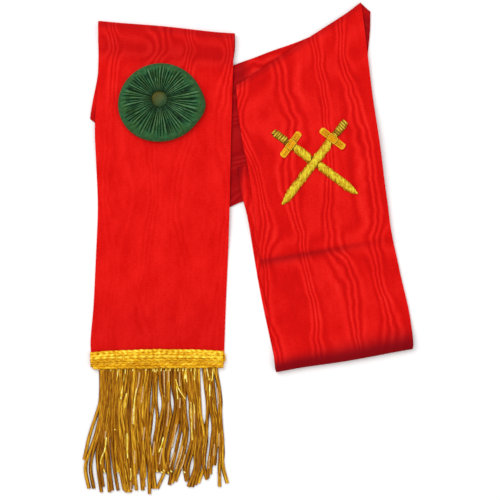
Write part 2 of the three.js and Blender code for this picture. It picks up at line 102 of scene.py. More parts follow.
def make_world(strength):
    world = bpy.data.worlds.new("room")
    world.use_nodes = True
    background = world.node_tree.nodes["Background"]
    background.inputs["Color"].default_value = (1, 1, 1, 1)
    background.inputs["Strength"].default_value = strength
    bpy.context.scene.world = world


make_camera()
make_light("softbox_upper_left", (-0.5, 0.6, 1.25), SOFTBOX_POWER)
make_light("fill_right", (0.7, -0.4, 1.2), FILL_POWER)
make_world(ROOM_STRENGTH)
bpy.context.scene.view_settings.view_transform = "Standard"


# Nodes: the same small class writes materials and Geometry Nodes trees


def shown(red, green, blue):
    """A colour as a screen shows it, 0 to 255, in the numbers that a shader takes."""
    parts = [part / 255 for part in (red, green, blue)]
    return tuple(p / 12.92 if p <= 0.04045 else ((p + 0.055) / 1.055) ** 2.4 for p in parts) + (1.0,)


def operator(operation, turned=False):
    """A method that makes a maths node from a socket and a value. Turned, the value comes first."""

    def method(self, other):
        return self.net.maths(operation, *((other, self) if turned else (self, other)))

    return method


class Wired:
    """A socket of a node, which takes part in sums and gives the node's other sockets by name."""

    def __init__(self, net, socket):
        self.net = net
        self.socket = socket

    def __getitem__(self, name):
        return Wired(self.net, self.socket.node.outputs[name])

    __add__ = operator("ADD")
    __radd__ = operator("ADD", turned=True)
    __sub__ = operator("SUBTRACT")
    __rsub__ = operator("SUBTRACT", turned=True)
    __mul__ = operator("MULTIPLY")
    __rmul__ = operator("MULTIPLY", turned=True)
    __truediv__ = operator("DIVIDE")
    __pow__ = operator("POWER")


class Net:
    """A node tree. node() adds any node: its type, its settings first, then its inputs."""

    def __init__(self, tree):
        self.tree = tree

    def node(self, kind, settings=None, inputs=None):
        made = self.tree.nodes.new(kind)
        for key, value in (settings or {}).items():
            if key == "stops":
                self.set_stops(made.color_ramp, value)
            else:
                setattr(made, key, value)
        for key, value in (inputs or {}).items():
            self.feed(made.inputs[key], value)
        return Wired(self, made.outputs[0]) if made.outputs else made

    def feed(self, socket, value):
        if isinstance(value, Wired):
            self.tree.links.new(value.socket, socket)
        else:
            socket.default_value = value

    def set_stops(self, ramp, stops):
        while len(ramp.elements) < len(stops):
            ramp.elements.new(0.5)
        for element, (place, colour) in zip(ramp.elements, stops):
            element.position = place
            element.color = colour

    def ramp(self, factor, *stops):
        """A mask through stops of place and level, or a colour through stops of place and shown colour."""
        full = [
            (place, shown(*value) if isinstance(value, tuple) else (value, value, value, 1))
            for place, value in stops
        ]
        return self.node("ShaderNodeValToRGB", {"stops": full}, {"Fac": factor})

    def mix(self, factor, low, high):
        """A colour between two colours."""
        mixed = self.node("ShaderNodeMix", {"data_type": "RGBA"}, {0: factor, 6: low, 7: high})
        return Wired(self, mixed.socket.node.outputs[2])

    def maths(self, operation, *values):
        return self.node("ShaderNodeMath", {"operation": operation}, dict(enumerate(values)))

    def attribute(self, name):
        return self.node("ShaderNodeAttribute", {"attribute_name": name})["Fac"]

    def object_place(self):
        return self.node("ShaderNodeTexCoord")["Object"]

    def scaled(self, vector, *factors):
        return self.node("ShaderNodeVectorMath", {"operation": "MULTIPLY"}, {0: vector, 1: factors})

    def sine(self, turn):
        """A wave between 0 and 1."""
        return self.maths("SINE", turn) * 0.5 + 0.5

    def noise(self, vector, scale, detail=2.0, roughness=0.5):
        inputs = {"Vector": vector, "Scale": scale, "Detail": detail, "Roughness": roughness}
        return self.node("ShaderNodeTexNoise", None, inputs)


class Finish(Net):
    """A material with one Principled shader. Constants go on the shader's own sockets."""

    def __init__(self, name, **constants):
        self.material = bpy.data.materials.new(name)
        self.material.use_nodes = True
        super().__init__(self.material.node_tree)
        self.shader = self.tree.nodes["Principled BSDF"]
        for key, value in constants.items():
            self.shader.inputs[key.replace("_", " ")].default_value = value

    def wear(self, name, value):
        self.feed(self.shader.inputs[name], value)

    def bump(self, height, distance, strength=1.0):
        """Distance in metres."""
        inputs = {"Height": height, "Distance": distance, "Strength": strength}
        self.wear("Normal", self.node("ShaderNodeBump", None, inputs))


# Materials


# Watered silk. The lines are waves of a turn, in radians, that grows across the strip
TURN_ACROSS = 232
FIELD_SWING = 9
WIGGLE_SWING = 1.1
LINES_PER_BUNDLE = 3.4
LINE_SWING = 7.2
RIB_SPACING = 0.0011
# The deep crimson of the painted shade at the folds, at the creases and between the panels
PAINTED_SHADE_CRIMSON = (122, 0, 10)


def red_moire():
    """Watered silk: bundles of lines that follow a slow field, under painted shade that deepens at the
    folds.
    """
    silk = Finish("red_moire_silk", Specular_IOR_Level=0.05, Sheen_Weight=0.03, Sheen_Roughness=0.4)
    silk.shader.inputs["Sheen Tint"].default_value = shown(255, 90, 80)
    strip = silk.node("ShaderNodeUVMap", {"uv_map": "strip"})
    place = silk.node("ShaderNodeSeparateXYZ", None, {"Vector": strip})

    def specks(across, lengthwise, detail, roughness=0.5):
        """Noise with about so many specks in a metre across and along the strip."""
        return silk.noise(silk.scaled(strip, across, lengthwise, 0), 1.0, detail, roughness)

    field = specks(30, 12, 0.8, 0.4)
    wiggle = specks(34, 70, 1.0)
    turn = field * FIELD_SWING + place["X"] * TURN_ACROSS + wiggle * WIGGLE_SWING
    bundles = silk.sine(turn + math.pi / 2)
    lines = silk.sine(turn * LINES_PER_BUNDLE + silk.sine(turn) * LINE_SWING + silk.attribute("swirl"))
    water = (lines - 0.5) * (bundles * 0.6 + 0.4)
    broad = specks(70, 40, 3.0, 0.6)
    streak = specks(900, 60, 2.0)
    grain = specks(380, 1100, 2.0)
    level = water * silk.attribute("watering") * 0.44 + broad * 0.55 + streak * 0.2 + grain * 0.34 - 0.11
    lit = silk.ramp(
        level, (0.0, (178, 2, 2)), (0.35, (210, 8, 4)), (0.62, (230, 24, 18)), (1.0, (246, 54, 46))
    )
    # Painted shade: where the attribute is low, the lines are mixed towards deep crimson
    silk.wear("Base Color", silk.mix(silk.attribute("tone"), shown(*PAINTED_SHADE_CRIMSON), lit))
    silk.wear("Roughness", 0.7 - 0.2 * level)
    ribs = silk.sine(place["Y"] * (2 * math.pi / RIB_SPACING))
    silk.bump(ribs * 0.5 + streak + water * 0.5, 0.00006)
    return silk.material


def green_gathers():
    """Green silk with painted shade between the gathers and painted highlight on their crests, and yellower
    in some places than in others.
    """
    cloth = Finish("green_gathered_silk", Specular_IOR_Level=0.15, Sheen_Weight=0.04, Sheen_Roughness=0.5)
    place = cloth.object_place()
    cloud = cloth.noise(place, 420, 3.0)
    fine = cloth.noise(place, 1800, 2.0)
    # The crest attribute paints shade in the valleys between the gathers and a highlight on their crests
    level = cloth.attribute("crest") * 1.1 + (cloud - 0.5) * 0.55 + (fine - 0.5) * 0.5 - 0.12
    cool = cloth.ramp(
        level, (0.05, (4, 20, 10)), (0.35, (18, 60, 34)), (0.62, (42, 94, 50)), (0.95, (90, 130, 88))
    )
    warm = cloth.ramp(level, (0.1, (6, 24, 4)), (0.8, (60, 94, 36)))
    hue = cloth.ramp(cloth.noise(place, 160, 1.0), (0.4, 0.0), (0.62, 0.45))
    cloth.wear("Base Color", cloth.mix(hue, cool, warm))
    cloth.wear("Roughness", 0.75 - 0.15 * cloud)
    cloth.bump(fine + cloud * 2.0, 0.00018)
    return cloth.material


def olive_button():
    """Olive cloth, browner at the upper left and greener at the lower right."""
    cloth = Finish("olive_button_cloth", Specular_IOR_Level=0.2)
    place = cloth.object_place()
    fine = cloth.noise(place, 3000, 1.0)
    weave = cloth.noise(place, 320, 3.0) * 0.7 + fine * 0.3
    spot = cloth.node("ShaderNodeSeparateXYZ", None, {"Vector": place})
    slant = (spot["X"] - spot["Y"] - (button_middle.real - button_middle.imag) * MM) * (0.05 / MM)
    brown = cloth.ramp(weave, (0.3, (56, 56, 8)), (0.7, (88, 84, 22)))
    green = cloth.ramp(weave, (0.3, (30, 60, 26)), (0.7, (60, 92, 54)))
    cloth.wear("Base Color", cloth.mix(cloth.ramp(slant + 0.5, (0.2, 0.0), (0.8, 1.0)), brown, green))
    cloth.wear("Roughness", 0.62 - 0.1 * fine)
    cloth.bump(fine, 0.0001)
    return cloth.material


def metal_thread(
    name, colours, metal=0.1, grain=1300, stretch=(1, 1, 1), groove=0.22, side=0.0, blotch=0.3
):
    """Metal-wrapped thread in a dark, a middle and a bright colour, with grain specks over a metre.

    stretch scales the specks along each axis. groove and side are how much painted shade darkens the thread
    between its plies and at its sides, and blotch is how strong its larger specks are.
    """
    thread = Finish(name, Specular_IOR_Level=0.12)
    place = thread.scaled(thread.object_place(), *stretch)
    cloud = thread.noise(place, grain * 0.3, 2.0)
    fine = thread.noise(place, grain, 2.0, 0.7)
    specks = (cloud - 0.5) * blotch + (fine - 0.5) * 0.9
    # Painted shade between the plies and at the sides of the thread
    painted_groove_shade = (thread.attribute("groove") - 1) * groove - (thread.attribute("side") ** 3.0) * side
    level = thread.attribute("shade") * 0.55 + specks + painted_groove_shade + 0.25
    thread.wear("Base Color", thread.ramp(level, *zip((0.1, 0.5, 0.9), colours)))
    thread.wear("Metallic", metal)
    thread.wear("Roughness", 0.5 - 0.22 * fine)
    thread.bump(fine, 0.00012)
    return thread.material


RIBBON = red_moire()
ROSETTE = green_gathers()
BUTTON = olive_button()
BRAID = metal_thread(
    "gold_braid", ((172, 106, 0), (236, 176, 10), (253, 240, 84)), 0.12, groove=0.1, blotch=0.6
)
FRINGE = metal_thread(
    "gold_fringe", ((100, 50, 0), (172, 108, 0), (240, 190, 44)), grain=1500, stretch=(1, 0.1, 1), side=0.35
)
SHEEN = metal_thread(
    "fringe_sheen", ((160, 108, 40), (196, 148, 84), (226, 196, 156)), grain=1500, side=0.6
)
GLINT = metal_thread(
    "fringe_glint", ((180, 124, 6), (236, 202, 50), (255, 252, 160)), grain=1000, side=0.4, blotch=1.2
)
BLADE = metal_thread("gold_satin_stitch", ((136, 74, 6), (202, 156, 20), (232, 222, 52)), blotch=0.9)
WOUND_GOLD = metal_thread("gold_wound_cord", ((130, 84, 8), (206, 168, 28), (242, 226, 90)))
GUARD = metal_thread("gold_guard_stitch", ((160, 88, 0), (234, 166, 4), (252, 222, 50)), 0.12)
# A dark thread colour, used for painted shade in the gaps of the grips and beside the guards' blocks
GAP_SHADE_THREAD = metal_thread("gap_shade_thread", ((50, 24, 4), (96, 54, 10), (140, 92, 18)), grain=1500)


# Mesh helpers


def mesh_object(name, points, faces, materials, smooth=True):
    """points are rows of x, y, z in millimetres."""
    mesh = bpy.data.meshes.new(name)
    mesh.from_pydata((np.asarray(points) * MM).tolist(), [], faces)
    for material in materials:
        mesh.materials.append(material)
    mesh.polygons.foreach_set("use_smooth", [smooth] * len(mesh.polygons))
    mesh.update()
    return placed(name, mesh)


def add_attribute(mesh, name, values):
    mesh.attributes.new(name, "FLOAT", "POINT").data.foreach_set("value", np.asarray(values, float).ravel())


def spatial(points, heights):
    """Plan points and heights as rows of x, y, z."""
    points, heights = np.broadcast_arrays(points, heights)
    return np.stack([points.real, points.imag, heights], axis=-1).reshape(-1, 3)


def joined(name, parts):
    """One object from several plain ones, with their materials kept."""
    with bpy.context.temp_override(active_object=parts[0], selected_editable_objects=parts):
        bpy.ops.object.join()
    parts[0].name = name
    parts[0].data.name = name
    return parts[0]


# The folded strip, laid out in plan as the CAD does. Plan points are complex, in millimetres

RIBBON_WIDTH = 101
HALF_WIDTH = RIBBON_WIDTH / 2
CLOTH_MIDDLE = 0.5
LAYER_STEP = 1.4
WALL = 0.7
FRONT_LEFT_LENGTH = 251
BACK_LEFT_LENGTH = 102
FRONT_RIGHT_LENGTH = 235
TUCKED_SHARE = 0.65
TAIL_SHARE = 0.296
PANEL_GAP = 3
TURN_EDGE = 7.5
TAIL_CUT_ANGLE = 8
BRAID_LEAN = 0.64
SOFT_FOLD_RADIUS = 2.5
SOFT_FOLD_REACH = 24
DRAPE_MARGIN = 6
DRAPE_REACH = 34
TAIL_DRAPE_DECAY = 2.8

# Legs from the fringe to the cut end: name, heading in degrees, legs below it, if its end fold is soft
LEG_TABLE = (
    ("front_left", 90 - 1.8, ("back_left", "crossing"), True),
    ("back_left", 270 - 5.5, ("crossing",), False),
    ("crossing", 0 + 21, (), False),
    ("turn", 180 - 32.5, ("crossing",), False),
    ("front_right", 270 + 8.1, ("crossing", "turn", "tucked", "tail"), True),
    ("tucked", 90 + 10.7, ("crossing", "turn"), False),
    ("tail", 270 + 11.5, ("crossing", "turn", "tucked"), False),
)


def direction(degrees):
    return cmath.exp(1j * math.radians(degrees))


def dot(a, b):
    return (a * np.conj(b)).real


def cross(a, b):
    return (np.conj(a) * b).imag


def fade(distance, near, far):
    """1 up to near, 0 from far on, and smooth between them."""
    share = np.clip((distance - near) / (far - near), 0, 1)
    return 1 - share * share * (3 - 2 * share)


def bump_at(distance, middle, reach):
    """1 at the middle distance, and smoothly less on both sides of it."""
    return np.exp(-(((distance - middle) / reach) ** 2))


def start_line_of(index):
    """The angle of the line on which a leg starts, halfway between its heading and the last leg's."""
    if index == 0:
        return BRAID_LEAN
    return (LEG_TABLE[index - 1][1] + LEG_TABLE[index][1]) / 2


def line_end(centre, line_angle, leg_across, across):
    """The point of a slanting line that lies so far across a leg."""
    line = direction(line_angle)
    return centre + line * across / dot(line, leg_across)


class Leg:
    """A straight run of the strip between two folds."""

    def __init__(self, index, start, crossing_run):
        self.name, heading, self.below, self.soft = LEG_TABLE[index]
        self.side = 1 if index % 2 == 0 else -1
        self.along = direction(heading)
        self.across = direction(heading + 90 * self.side)
        last = index + 1 == len(LEG_TABLE)
        self.start_line = start_line_of(index)
        self.end_line = TAIL_CUT_ANGLE if last else start_line_of(index + 1)
        slants = self.slant(self.end_line) - self.slant(self.start_line)
        self.run = {
            "front_left": FRONT_LEFT_LENGTH,
            "back_left": BACK_LEFT_LENGTH,
            "crossing": crossing_run,
            "turn": TURN_EDGE + HALF_WIDTH * abs(slants),
            "front_right": FRONT_RIGHT_LENGTH,
            "tucked": FRONT_RIGHT_LENGTH * TUCKED_SHARE,
            "tail": FRONT_RIGHT_LENGTH * TAIL_SHARE,
        }[self.name]
        self.start = start
        self.end = start + self.along * self.run
        radius = SOFT_FOLD_RADIUS if self.soft else LAYER_STEP / 2
        line = direction(self.end_line)
        self.arc = math.pi * radius / abs(cross(line, self.along))
        self.carry = line * self.arc * dot(line, self.along)
        edges = (-HALF_WIDTH, HALF_WIDTH)
        self.corners = [line_end(self.start, self.start_line, self.across, edge) for edge in edges]
        self.corners += [line_end(self.end, self.end_line, self.across, edge) for edge in edges[::-1]]

    def slant(self, line_angle):
        line = direction(line_angle)
        return dot(line, self.along) / dot(line, self.across)

    def from_start(self, points):
        """How far points lie from the line on which the leg starts."""
        return abs(cross(direction(self.start_line), points - self.start))

    def from_end(self, points):
        return abs(cross(direction(self.end_line), points - self.end))

    def points(self, shares, acrosses):
        """Plan points at shares of the way along and places across."""
        near = line_end(self.start, self.start_line, self.across, acrosses)
        far = line_end(self.end, self.end_line, self.across, acrosses)
        return near + (far - near) * shares


def lay_legs(start, crossing_run):
    legs = []
    for index in range(len(LEG_TABLE)):
        leg = Leg(index, start, crossing_run)
        legs.append(leg)
        start = leg.end + leg.carry
    return legs


def front_gap(legs):
    """The gap between the front panels at their upper ends."""
    left, right = (leg for leg in legs if leg.name in ("front_left", "front_right"))
    return -dot(right.corners[0] - left.start, left.across) - HALF_WIDTH


ROSETTE_DROP = 52.4
ROSETTE_SHIFT = 3.6


def rosette_centre(panel):
    return panel.end - panel.along * ROSETTE_DROP + panel.across * ROSETTE_SHIFT


short_gap = front_gap(lay_legs(0, 0))
gap_gain = front_gap(lay_legs(0, 1)) - short_gap
crossing_length = (PANEL_GAP - short_gap) / gap_gain
first_start = button_middle - rosette_centre(lay_legs(0, crossing_length)[0])
legs = lay_legs(first_start, crossing_length)
leg_named = {leg.name: leg for leg in legs}


def distance_outside(corners, points):
    """How far points lie outside a shape with straight edges, and 0 inside it."""
    edges = list(zip(corners, corners[1:] + corners[:1]))
    turns = np.array([np.sign(cross(b - a, points - a)) for a, b in edges])
    inside = np.all(turns >= 0, axis=0) | np.all(turns <= 0, axis=0)
    distances = []
    for a, b in edges:
        share = np.clip(dot(points - a, b - a) / abs(b - a) ** 2, 0, 1)
        distances.append(abs(points - a - share * (b - a)))
    return np.where(inside, 0, np.min(distances, axis=0))


def lift_by(leg, points):
    """How much a leg lifts what lies on it: fully over its plan, and less and less beside it."""
    cut_end = leg is legs[-1]
    reach = DRAPE_MARGIN + DRAPE_REACH if cut_end else 0
    corners = leg.corners[:2] + [corner + leg.along * reach for corner in leg.corners[2:]]
    beside = fade(distance_outside(corners, points), DRAPE_MARGIN, DRAPE_MARGIN + DRAPE_REACH)
    if not cut_end:
        return beside
    return beside * np.exp(-behind_cut_end(leg, points) / TAIL_DRAPE_DECAY)


def behind_cut_end(leg, points):
    """How far points lie beyond the strip's cut end, and 0 before it."""
    return np.maximum(0, -cross(direction(leg.end_line), points - leg.end))


def middle_height(leg, points):
    """Height of a leg's middle surface."""
    height = np.full(np.shape(points), CLOTH_MIDDLE)
    for name in leg.below:
        height = height + LAYER_STEP * lift_by(leg_named[name], points)
    if leg.soft:
        opening = 2 * SOFT_FOLD_RADIUS - LAYER_STEP
        height = height + opening * fade(leg.from_end(points), 0, SOFT_FOLD_REACH)
    return height


def bed_height(leg, points):
    """Height of the cloth's upper face on a front panel."""
    return middle_height(leg, np.asarray(points)) + WALL / 2


# Ribbon

CELL = 1.5
COLUMNS = 48
SOFT_FOLD_ROWS = 12
SHARP_FOLD_ROWS = 7
SHARP_ANGLE = math.radians(50)
PANEL_WAVES = 0.11
STRIP_CREASES = 0.9
CREASE_DARK = 0.5
ROLL_DARK = 0.9

# Small pushes of the cloth in plan, in pixels, on each leg and on all of them: place right and down on the
# photograph, push right and down, reach
PUSHES = {
    "front_left": (
        (93, 210, 3.6, 0, 42), (92, 268, 2.6, 0, 40), (92, 310, 1.6, 0, 30), (226, 230, 1.0, 0, 60),
        (95, 126, -1.5, 0, 24), (89, 360, 2.0, 0, 12),
    ),
    "back_left": ((94, 72, 3.2, 0, 26), (91, 117, -0.3, 0, 14), (234, 48, 2.4, 0, 16)),
    "crossing": (
        (300, 37, 0, 2.0, 26), (371, 10, -1.6, 1.2, 14), (240, 206, 0, -3.6, 22), (238, 66, 0, -0.9, 14),
    ),
    "turn": ((371, 10, -1.6, 1.2, 14),),
    "front_right": (
        (240, 118, -2.4, 0, 26), (244, 145, -1.2, 0, 14), (259, 300, -1.0, 0, 70), (275, 368, -1.0, 2.0, 18),
        (374, 100, -1.6, 0, 50), (388, 190, -1.8, 0, 45), (393, 232, -1.5, 0, 22), (405, 318, 4.4, 0, 36),
        (412, 342, 1.0, 0, 14), (345, 358, 0, 1.2, 40),
    ),
    "tucked": ((260, 290, -1.9, 0, 60), (244, 190, -2.2, 0, 18)),
    "tail": ((252, 235, -0.9, 0, 20), (258, 256, 3.0, -1.0, 7), (244, 190, -2.2, 0, 18)),
}
PUSHES_ON_ALL = (
    (225, 32, 0, 3.2, 45), (100, 22, -1.2, -0.8, 20), (361, 4, 0, -1.7, 10), (350, 360, 0, 0.9, 50),
)


def pushed(leg, plan):
    moved = plan.copy()
    for right, down, by_right, by_down, reach in PUSHES[leg.name] + PUSHES_ON_ALL:
        away = abs(plan - on_photo(right, down)) / MM_PER_PIXEL
        moved += complex(by_right, -by_down) * MM_PER_PIXEL * bump_at(away, 0, reach)
    return moved


def unevenness(leg, points):
    """Small rises and dips of the cloth on the layers below."""
    x, y = points.real, points.imag
    waves = np.sin(x / 15 + 1.1) * np.sin(y / 33 + 0.4) + 0.6 * np.sin(x / 8.5 - y / 41 + 2.0)
    if leg.name in ("front_left", "front_right"):
        return PANEL_WAVES * (waves + 0.8)
    if leg.name == "crossing":
        apart = np.minimum.reduce([
            distance_outside(leg_named[name].corners, points) for name in ("back_left", "turn")
        ])
        creases = np.abs(np.sin((x * 0.5 - y * 0.87) / 4.3 + 0.8 * np.sin(y / 13))) ** 0.8
        return STRIP_CREASES * creases * (1 - fade(apart, 0.5, 4))
    return np.zeros(points.shape)


# Painted light of each leg: the crossing and the turn are painted darker, in the shade between and beside
# the panels
BASE_PAINTED_LIGHT = {
    "front_left": 0.97, "back_left": 0.9, "crossing": 0.33, "turn": 0.22,
    "front_right": 0.93, "tucked": 0.95, "tail": 0.95,
}


def panel_shadows(leg, points):
    """How much the right panel darkens along the crease over the hidden cut end and at its lower roll."""
    from_right = dot(leg.corners[1] - points, leg.across) * leg.side
    share = np.clip(from_right / RIBBON_WIDTH, 0, 1)
    line = -cross(direction(TAIL_CUT_ANGLE), points - legs[-1].end) - 1.5 - 2.5 * share
    width = np.where(line < 0, 1.4, 2.2 + 2 * share)
    behind = behind_cut_end(legs[-1], points)
    dark = CREASE_DARK * fade(1 - share, 0.35, 1.05) * bump_at(line, 0, width)
    dark = dark + 0.05 * np.exp(-behind / 6) * (behind > 0)
    roll = ROLL_DARK * bump_at(np.maximum(0, leg.from_end(points) - 1), 0, 10.5 - 5.5 * share)
    return dark + roll


def painted_light_of(leg, points):
    """Painted light and shade on the silk: 1 where it is painted fully lit, 0 where it is painted in deep
    crimson shade.
    """
    tone = np.full(points.shape, BASE_PAINTED_LIGHT[leg.name])
    if leg.name == "front_left":
        below_fold = leg.from_end(points)
        tone = tone - 0.16 * fade(below_fold, 18, 32) - 0.14 * fade(leg.from_start(points), 8, 75)
        tone = tone - 0.1 * bump_at(below_fold, 15, 8) - 0.25 * fade(below_fold, 0, 3)
    if leg.name == "crossing":
        right_of_gap = (points - on_photo(241, 70)).real
        tone = tone + 0.5 * (1 - fade(right_of_gap, 0, 9))
    if leg.name == "back_left":
        tone = tone - 0.35 * fade(abs(points - on_photo(92, 119)) / MM_PER_PIXEL, 4, 14)
    if leg.name == "turn":
        tone = tone + 0.25 * fade(abs(points - on_photo(366, 12)) / MM_PER_PIXEL, 0, 9)
    if leg.name == "front_right":
        tone = tone - panel_shadows(leg, points) - 0.3 * fade(leg.from_start(points), 0.5, 4.5)
    if leg.name == "tucked":
        tone = tone - 0.75 * fade(leg.from_start(points), 2, 9)
    if leg.name in ("tucked", "tail"):
        below_top = legs[-1].from_start(points)
        from_left = abs(cross(legs[-1].along, points - legs[-1].corners[0]))
        tone = tone - 0.4 * fade(below_top, 0, 14)
        tone = tone - 0.45 * fade(from_left, 0, 4.5) * fade(below_top, 14, 26)
    return np.clip(tone, 0, 1)


def watering_of(leg, points):
    """How clearly the watered lines show."""
    if leg.name != "front_left":
        return np.ones(points.shape)
    below_fold = leg.from_end(points)
    return 0.14 + 0.76 * fade(below_fold, 28, 72) + 0.12 * fade(abs(below_fold - 120), 10, 60)


def swirl_of(leg, points):
    """How far the watered lines swing aside, in radians. They bend into loops beside the folds."""
    if leg.name == "front_left":
        return 7.5 * bump_at(leg.from_end(points), 14, 9)
    if leg.name == "front_right":
        beside_crease = cross(direction(TAIL_CUT_ANGLE), points - legs[-1].end)
        return 5 * bump_at(leg.from_start(points), 26, 13) + 5.5 * bump_at(beside_crease, 0, 11)
    return np.zeros(points.shape)


LOOKS = {"tone": painted_light_of, "watering": watering_of, "swirl": swirl_of}


def leg_rows(leg):
    """A leg's grid: its flat plan, its places in space and its looks."""
    cells = max(3, round(leg.run / CELL))
    shares = np.linspace(0, 1, cells + 1)[:, None]
    acrosses = np.linspace(-HALF_WIDTH, HALF_WIDTH, COLUMNS + 1)[None, :]
    plan = leg.points(shares, acrosses)
    height = middle_height(leg, plan) + unevenness(leg, plan)
    place = spatial(pushed(leg, plan), height).reshape(*plan.shape, 3)
    return plan, place, np.stack([look(leg, plan) for look in LOOKS.values()], axis=-1)


def fold_rows(leg, before, after):
    """The turn from a leg's last row to the next leg's first: places, normals and shares of the way."""
    rows = SOFT_FOLD_ROWS if leg.soft else SHARP_FOLD_ROWS
    turned = ((np.arange(rows) + 1) / (rows + 1))[:, None]
    angle = math.pi * turned
    square = -1j * direction(leg.end_line)
    out = square * np.sign(dot(square, leg.along))
    outward = np.array([out.real, out.imag, 0])
    fall = (before[:, 2] - after[:, 2])[None, :] / 2
    place = before[None] + (after - before)[None] * turned[..., None]
    place[..., 2] = (before[:, 2] + after[:, 2])[None, :] / 2 + fall * np.cos(angle)
    place = place + outward * (abs(fall) * np.sin(angle))[..., None]
    normal = outward * (np.sign(fall) * np.sin(angle))[..., None]
    normal[..., 2] += np.cos(angle)
    return place, normal * leg.side, turned


def ribbon():
    """The strip's middle surface from end to end: places, normals, lengths along it and looks."""
    centres, normals, alongs, looks = [], [], [], []
    so_far = 0.0
    grids = [leg_rows(leg) for leg in legs]
    for index, leg in enumerate(legs):
        plan, place, look = grids[index]
        centres.append(place)
        normals.append(np.broadcast_to((0, 0, leg.side), place.shape))
        alongs.append(so_far + dot(plan - leg.start, leg.along))
        looks.append(look)
        so_far += leg.run
        if index + 1 == len(legs):
            break
        after_leg = legs[index + 1]
        after_plan, after_place, after_look = grids[index + 1]
        fold_place, fold_normal, turned = fold_rows(leg, place[-1], after_place[0])
        start_along = alongs[-1][-1]
        end_along = so_far + leg.arc + dot(after_plan[0] - after_leg.start, after_leg.along)
        centres.append(fold_place)
        normals.append(fold_normal)
        alongs.append(start_along + (end_along - start_along) * turned)
        looks.append(look[-1] + (after_look[0] - look[-1]) * turned[..., None])
        so_far += leg.arc
    centre, normal, along, look = (np.concatenate(x) for x in (centres, normals, alongs, looks))
    return centre, normal, along, look, so_far


def sheet_faces(grid, count):
    """Faces of a closed sheet: an upper grid, the same grid count points later below it, and the rims."""
    a, b, c, d = grid[:-1, :-1], grid[1:, :-1], grid[1:, 1:], grid[:-1, 1:]
    over = np.stack([a, b, c, d], axis=-1).reshape(-1, 4)
    rims = []
    for line, flip in ((grid[:, 0], False), (grid[:, -1], True), (grid[0], True), (grid[-1], False)):
        rim = np.stack([line[:-1], line[:-1] + count, line[1:] + count, line[1:]], axis=-1)
        rims.append(rim[:, ::-1] if flip else rim)
    return np.concatenate([over, over[:, ::-1] + count, *rims]).tolist()


def cloth_object(name, centre, normal, along, look):
    """A closed sheet with a wall, from the grid of its middle surface."""
    rows, columns = centre.shape[:2]
    count = rows * columns
    points = np.concatenate([centre + normal * WALL / 2, centre - normal * WALL / 2]).reshape(-1, 3)
    faces = sheet_faces(np.arange(count).reshape(rows, columns), count)
    made = mesh_object(name, points, faces, [RIBBON])
    mesh = made.data
    mesh.set_sharp_from_angle(angle=SHARP_ANGLE)
    for number, attribute in enumerate(LOOKS):
        add_attribute(mesh, attribute, np.tile(look[..., number].ravel(), 2))
    across = np.broadcast_to(np.linspace(0, RIBBON_WIDTH, columns)[None, :], (rows, columns))
    flat = np.stack([across, along], axis=-1).reshape(-1, 2) * MM
    corners = np.empty(len(mesh.loops), int)
    mesh.loops.foreach_get("vertex_index", corners)
    layer = mesh.uv_layers.new(name="strip")
    layer.data.foreach_set("uv", np.concatenate([flat, flat])[corners].ravel())
    return made


*strip_grid, strip_length = ribbon()
ribbon_piece = cloth_object("sash_ribbon", *strip_grid)


# Rosette and button

ROSETTE_RADIUS = 30.4
ROSETTE_HEIGHT = 7
SEAM = 0.3
WELL_SHARE = 0.3
GATHERS = 62
GATHER_DEPTH = 1.8
GATHER_SWAY = 0.55
GATHER_CURL = 1.6
FORK_SHARE = 0.4
SMOOTH_CREST = 0.62
SECTORS = 12 * GATHERS
SECTION_ROWS = 7
UNDER_SECTIONS = 3
ROSETTE_SEED = 11

# Sections from the underside over the rim to the button: share of the outline, millimetres added
# to it, share of the height, share of the gathers' depth
ROSETTE_SECTIONS = np.array([
    (0.5, 0, 0, 0), (0.9, 0, 0, 0), (0.975, 0, 0.08, 0), (1, 0, 0.3, 0), (0.985, 0, 0.56, 0.05),
    (0.93, 0, 0.82, 0.3), (0.84, 0, 0.97, 0.8), (0.72, 0, 1.0, 1), (0.5, 0, 0.92, 1),
    (0.32, 0, 0.82, 1), (0, 7.2, 0.7, 0.9), (0, 6.1, 0.58, 0.6), (0, 5.2, 0.4, 0.2), (0, 4.4, 0.3, 0),
])
# The outline strays from a circle: a bulge to the right, and waves by their count and their level and
# upright shares
BULGE_DEGREES = -9
BULGE_REACH = 17
BULGE = 0.076
OUTLINE_WAVES = ((1, 0.016, -0.087), (2, 0.034, 0.011), (3, 0.005, -0.01))

BUTTON_RADIUS = 6
BUTTON_HEIGHT = 4.6
BUTTON_SECTORS = 56
BUTTON_SECTION_ROWS = 4
# Shares of the button's radius and height
BUTTON_SECTIONS = np.array([
    (0.3, 0), (0.8, 0), (0.97, 0.12), (1.0, 0.32), (0.95, 0.58), (0.8, 0.8), (0.55, 0.94), (0.27, 0.99),
    (0.04, 1),
])

panel = leg_named["front_left"]
rosette_middle = rosette_centre(panel)
seat = float(bed_height(panel, rosette_middle)) + SEAM


def rosette_outline(degrees):
    angle = np.radians(degrees)
    from_bulge = (degrees - BULGE_DEGREES + 180) % 360 - 180
    share = 1 + BULGE * bump_at(from_bulge, 0, BULGE_REACH)
    for turns, level, upright in OUTLINE_WAVES:
        share = share + level * np.cos(turns * angle) + upright * np.sin(turns * angle)
    return ROSETTE_RADIUS * share


def smooth_rows(table, rows):
    """Rows of a table with a Catmull-Rom curve through them."""
    padded = np.vstack([table[0], table, table[-1]])
    made = []
    for i in range(len(table) - 1):
        p, q, r, s = padded[i : i + 4]
        for t in np.arange(rows) / rows:
            bend = (2 * p - 5 * q + 4 * r - s) * t**2 + (3 * q - p - 3 * r + s) * t**3
            made.append(0.5 * (2 * q + (r - p) * t + bend))
    made.append(table[-1])
    return np.array(made)


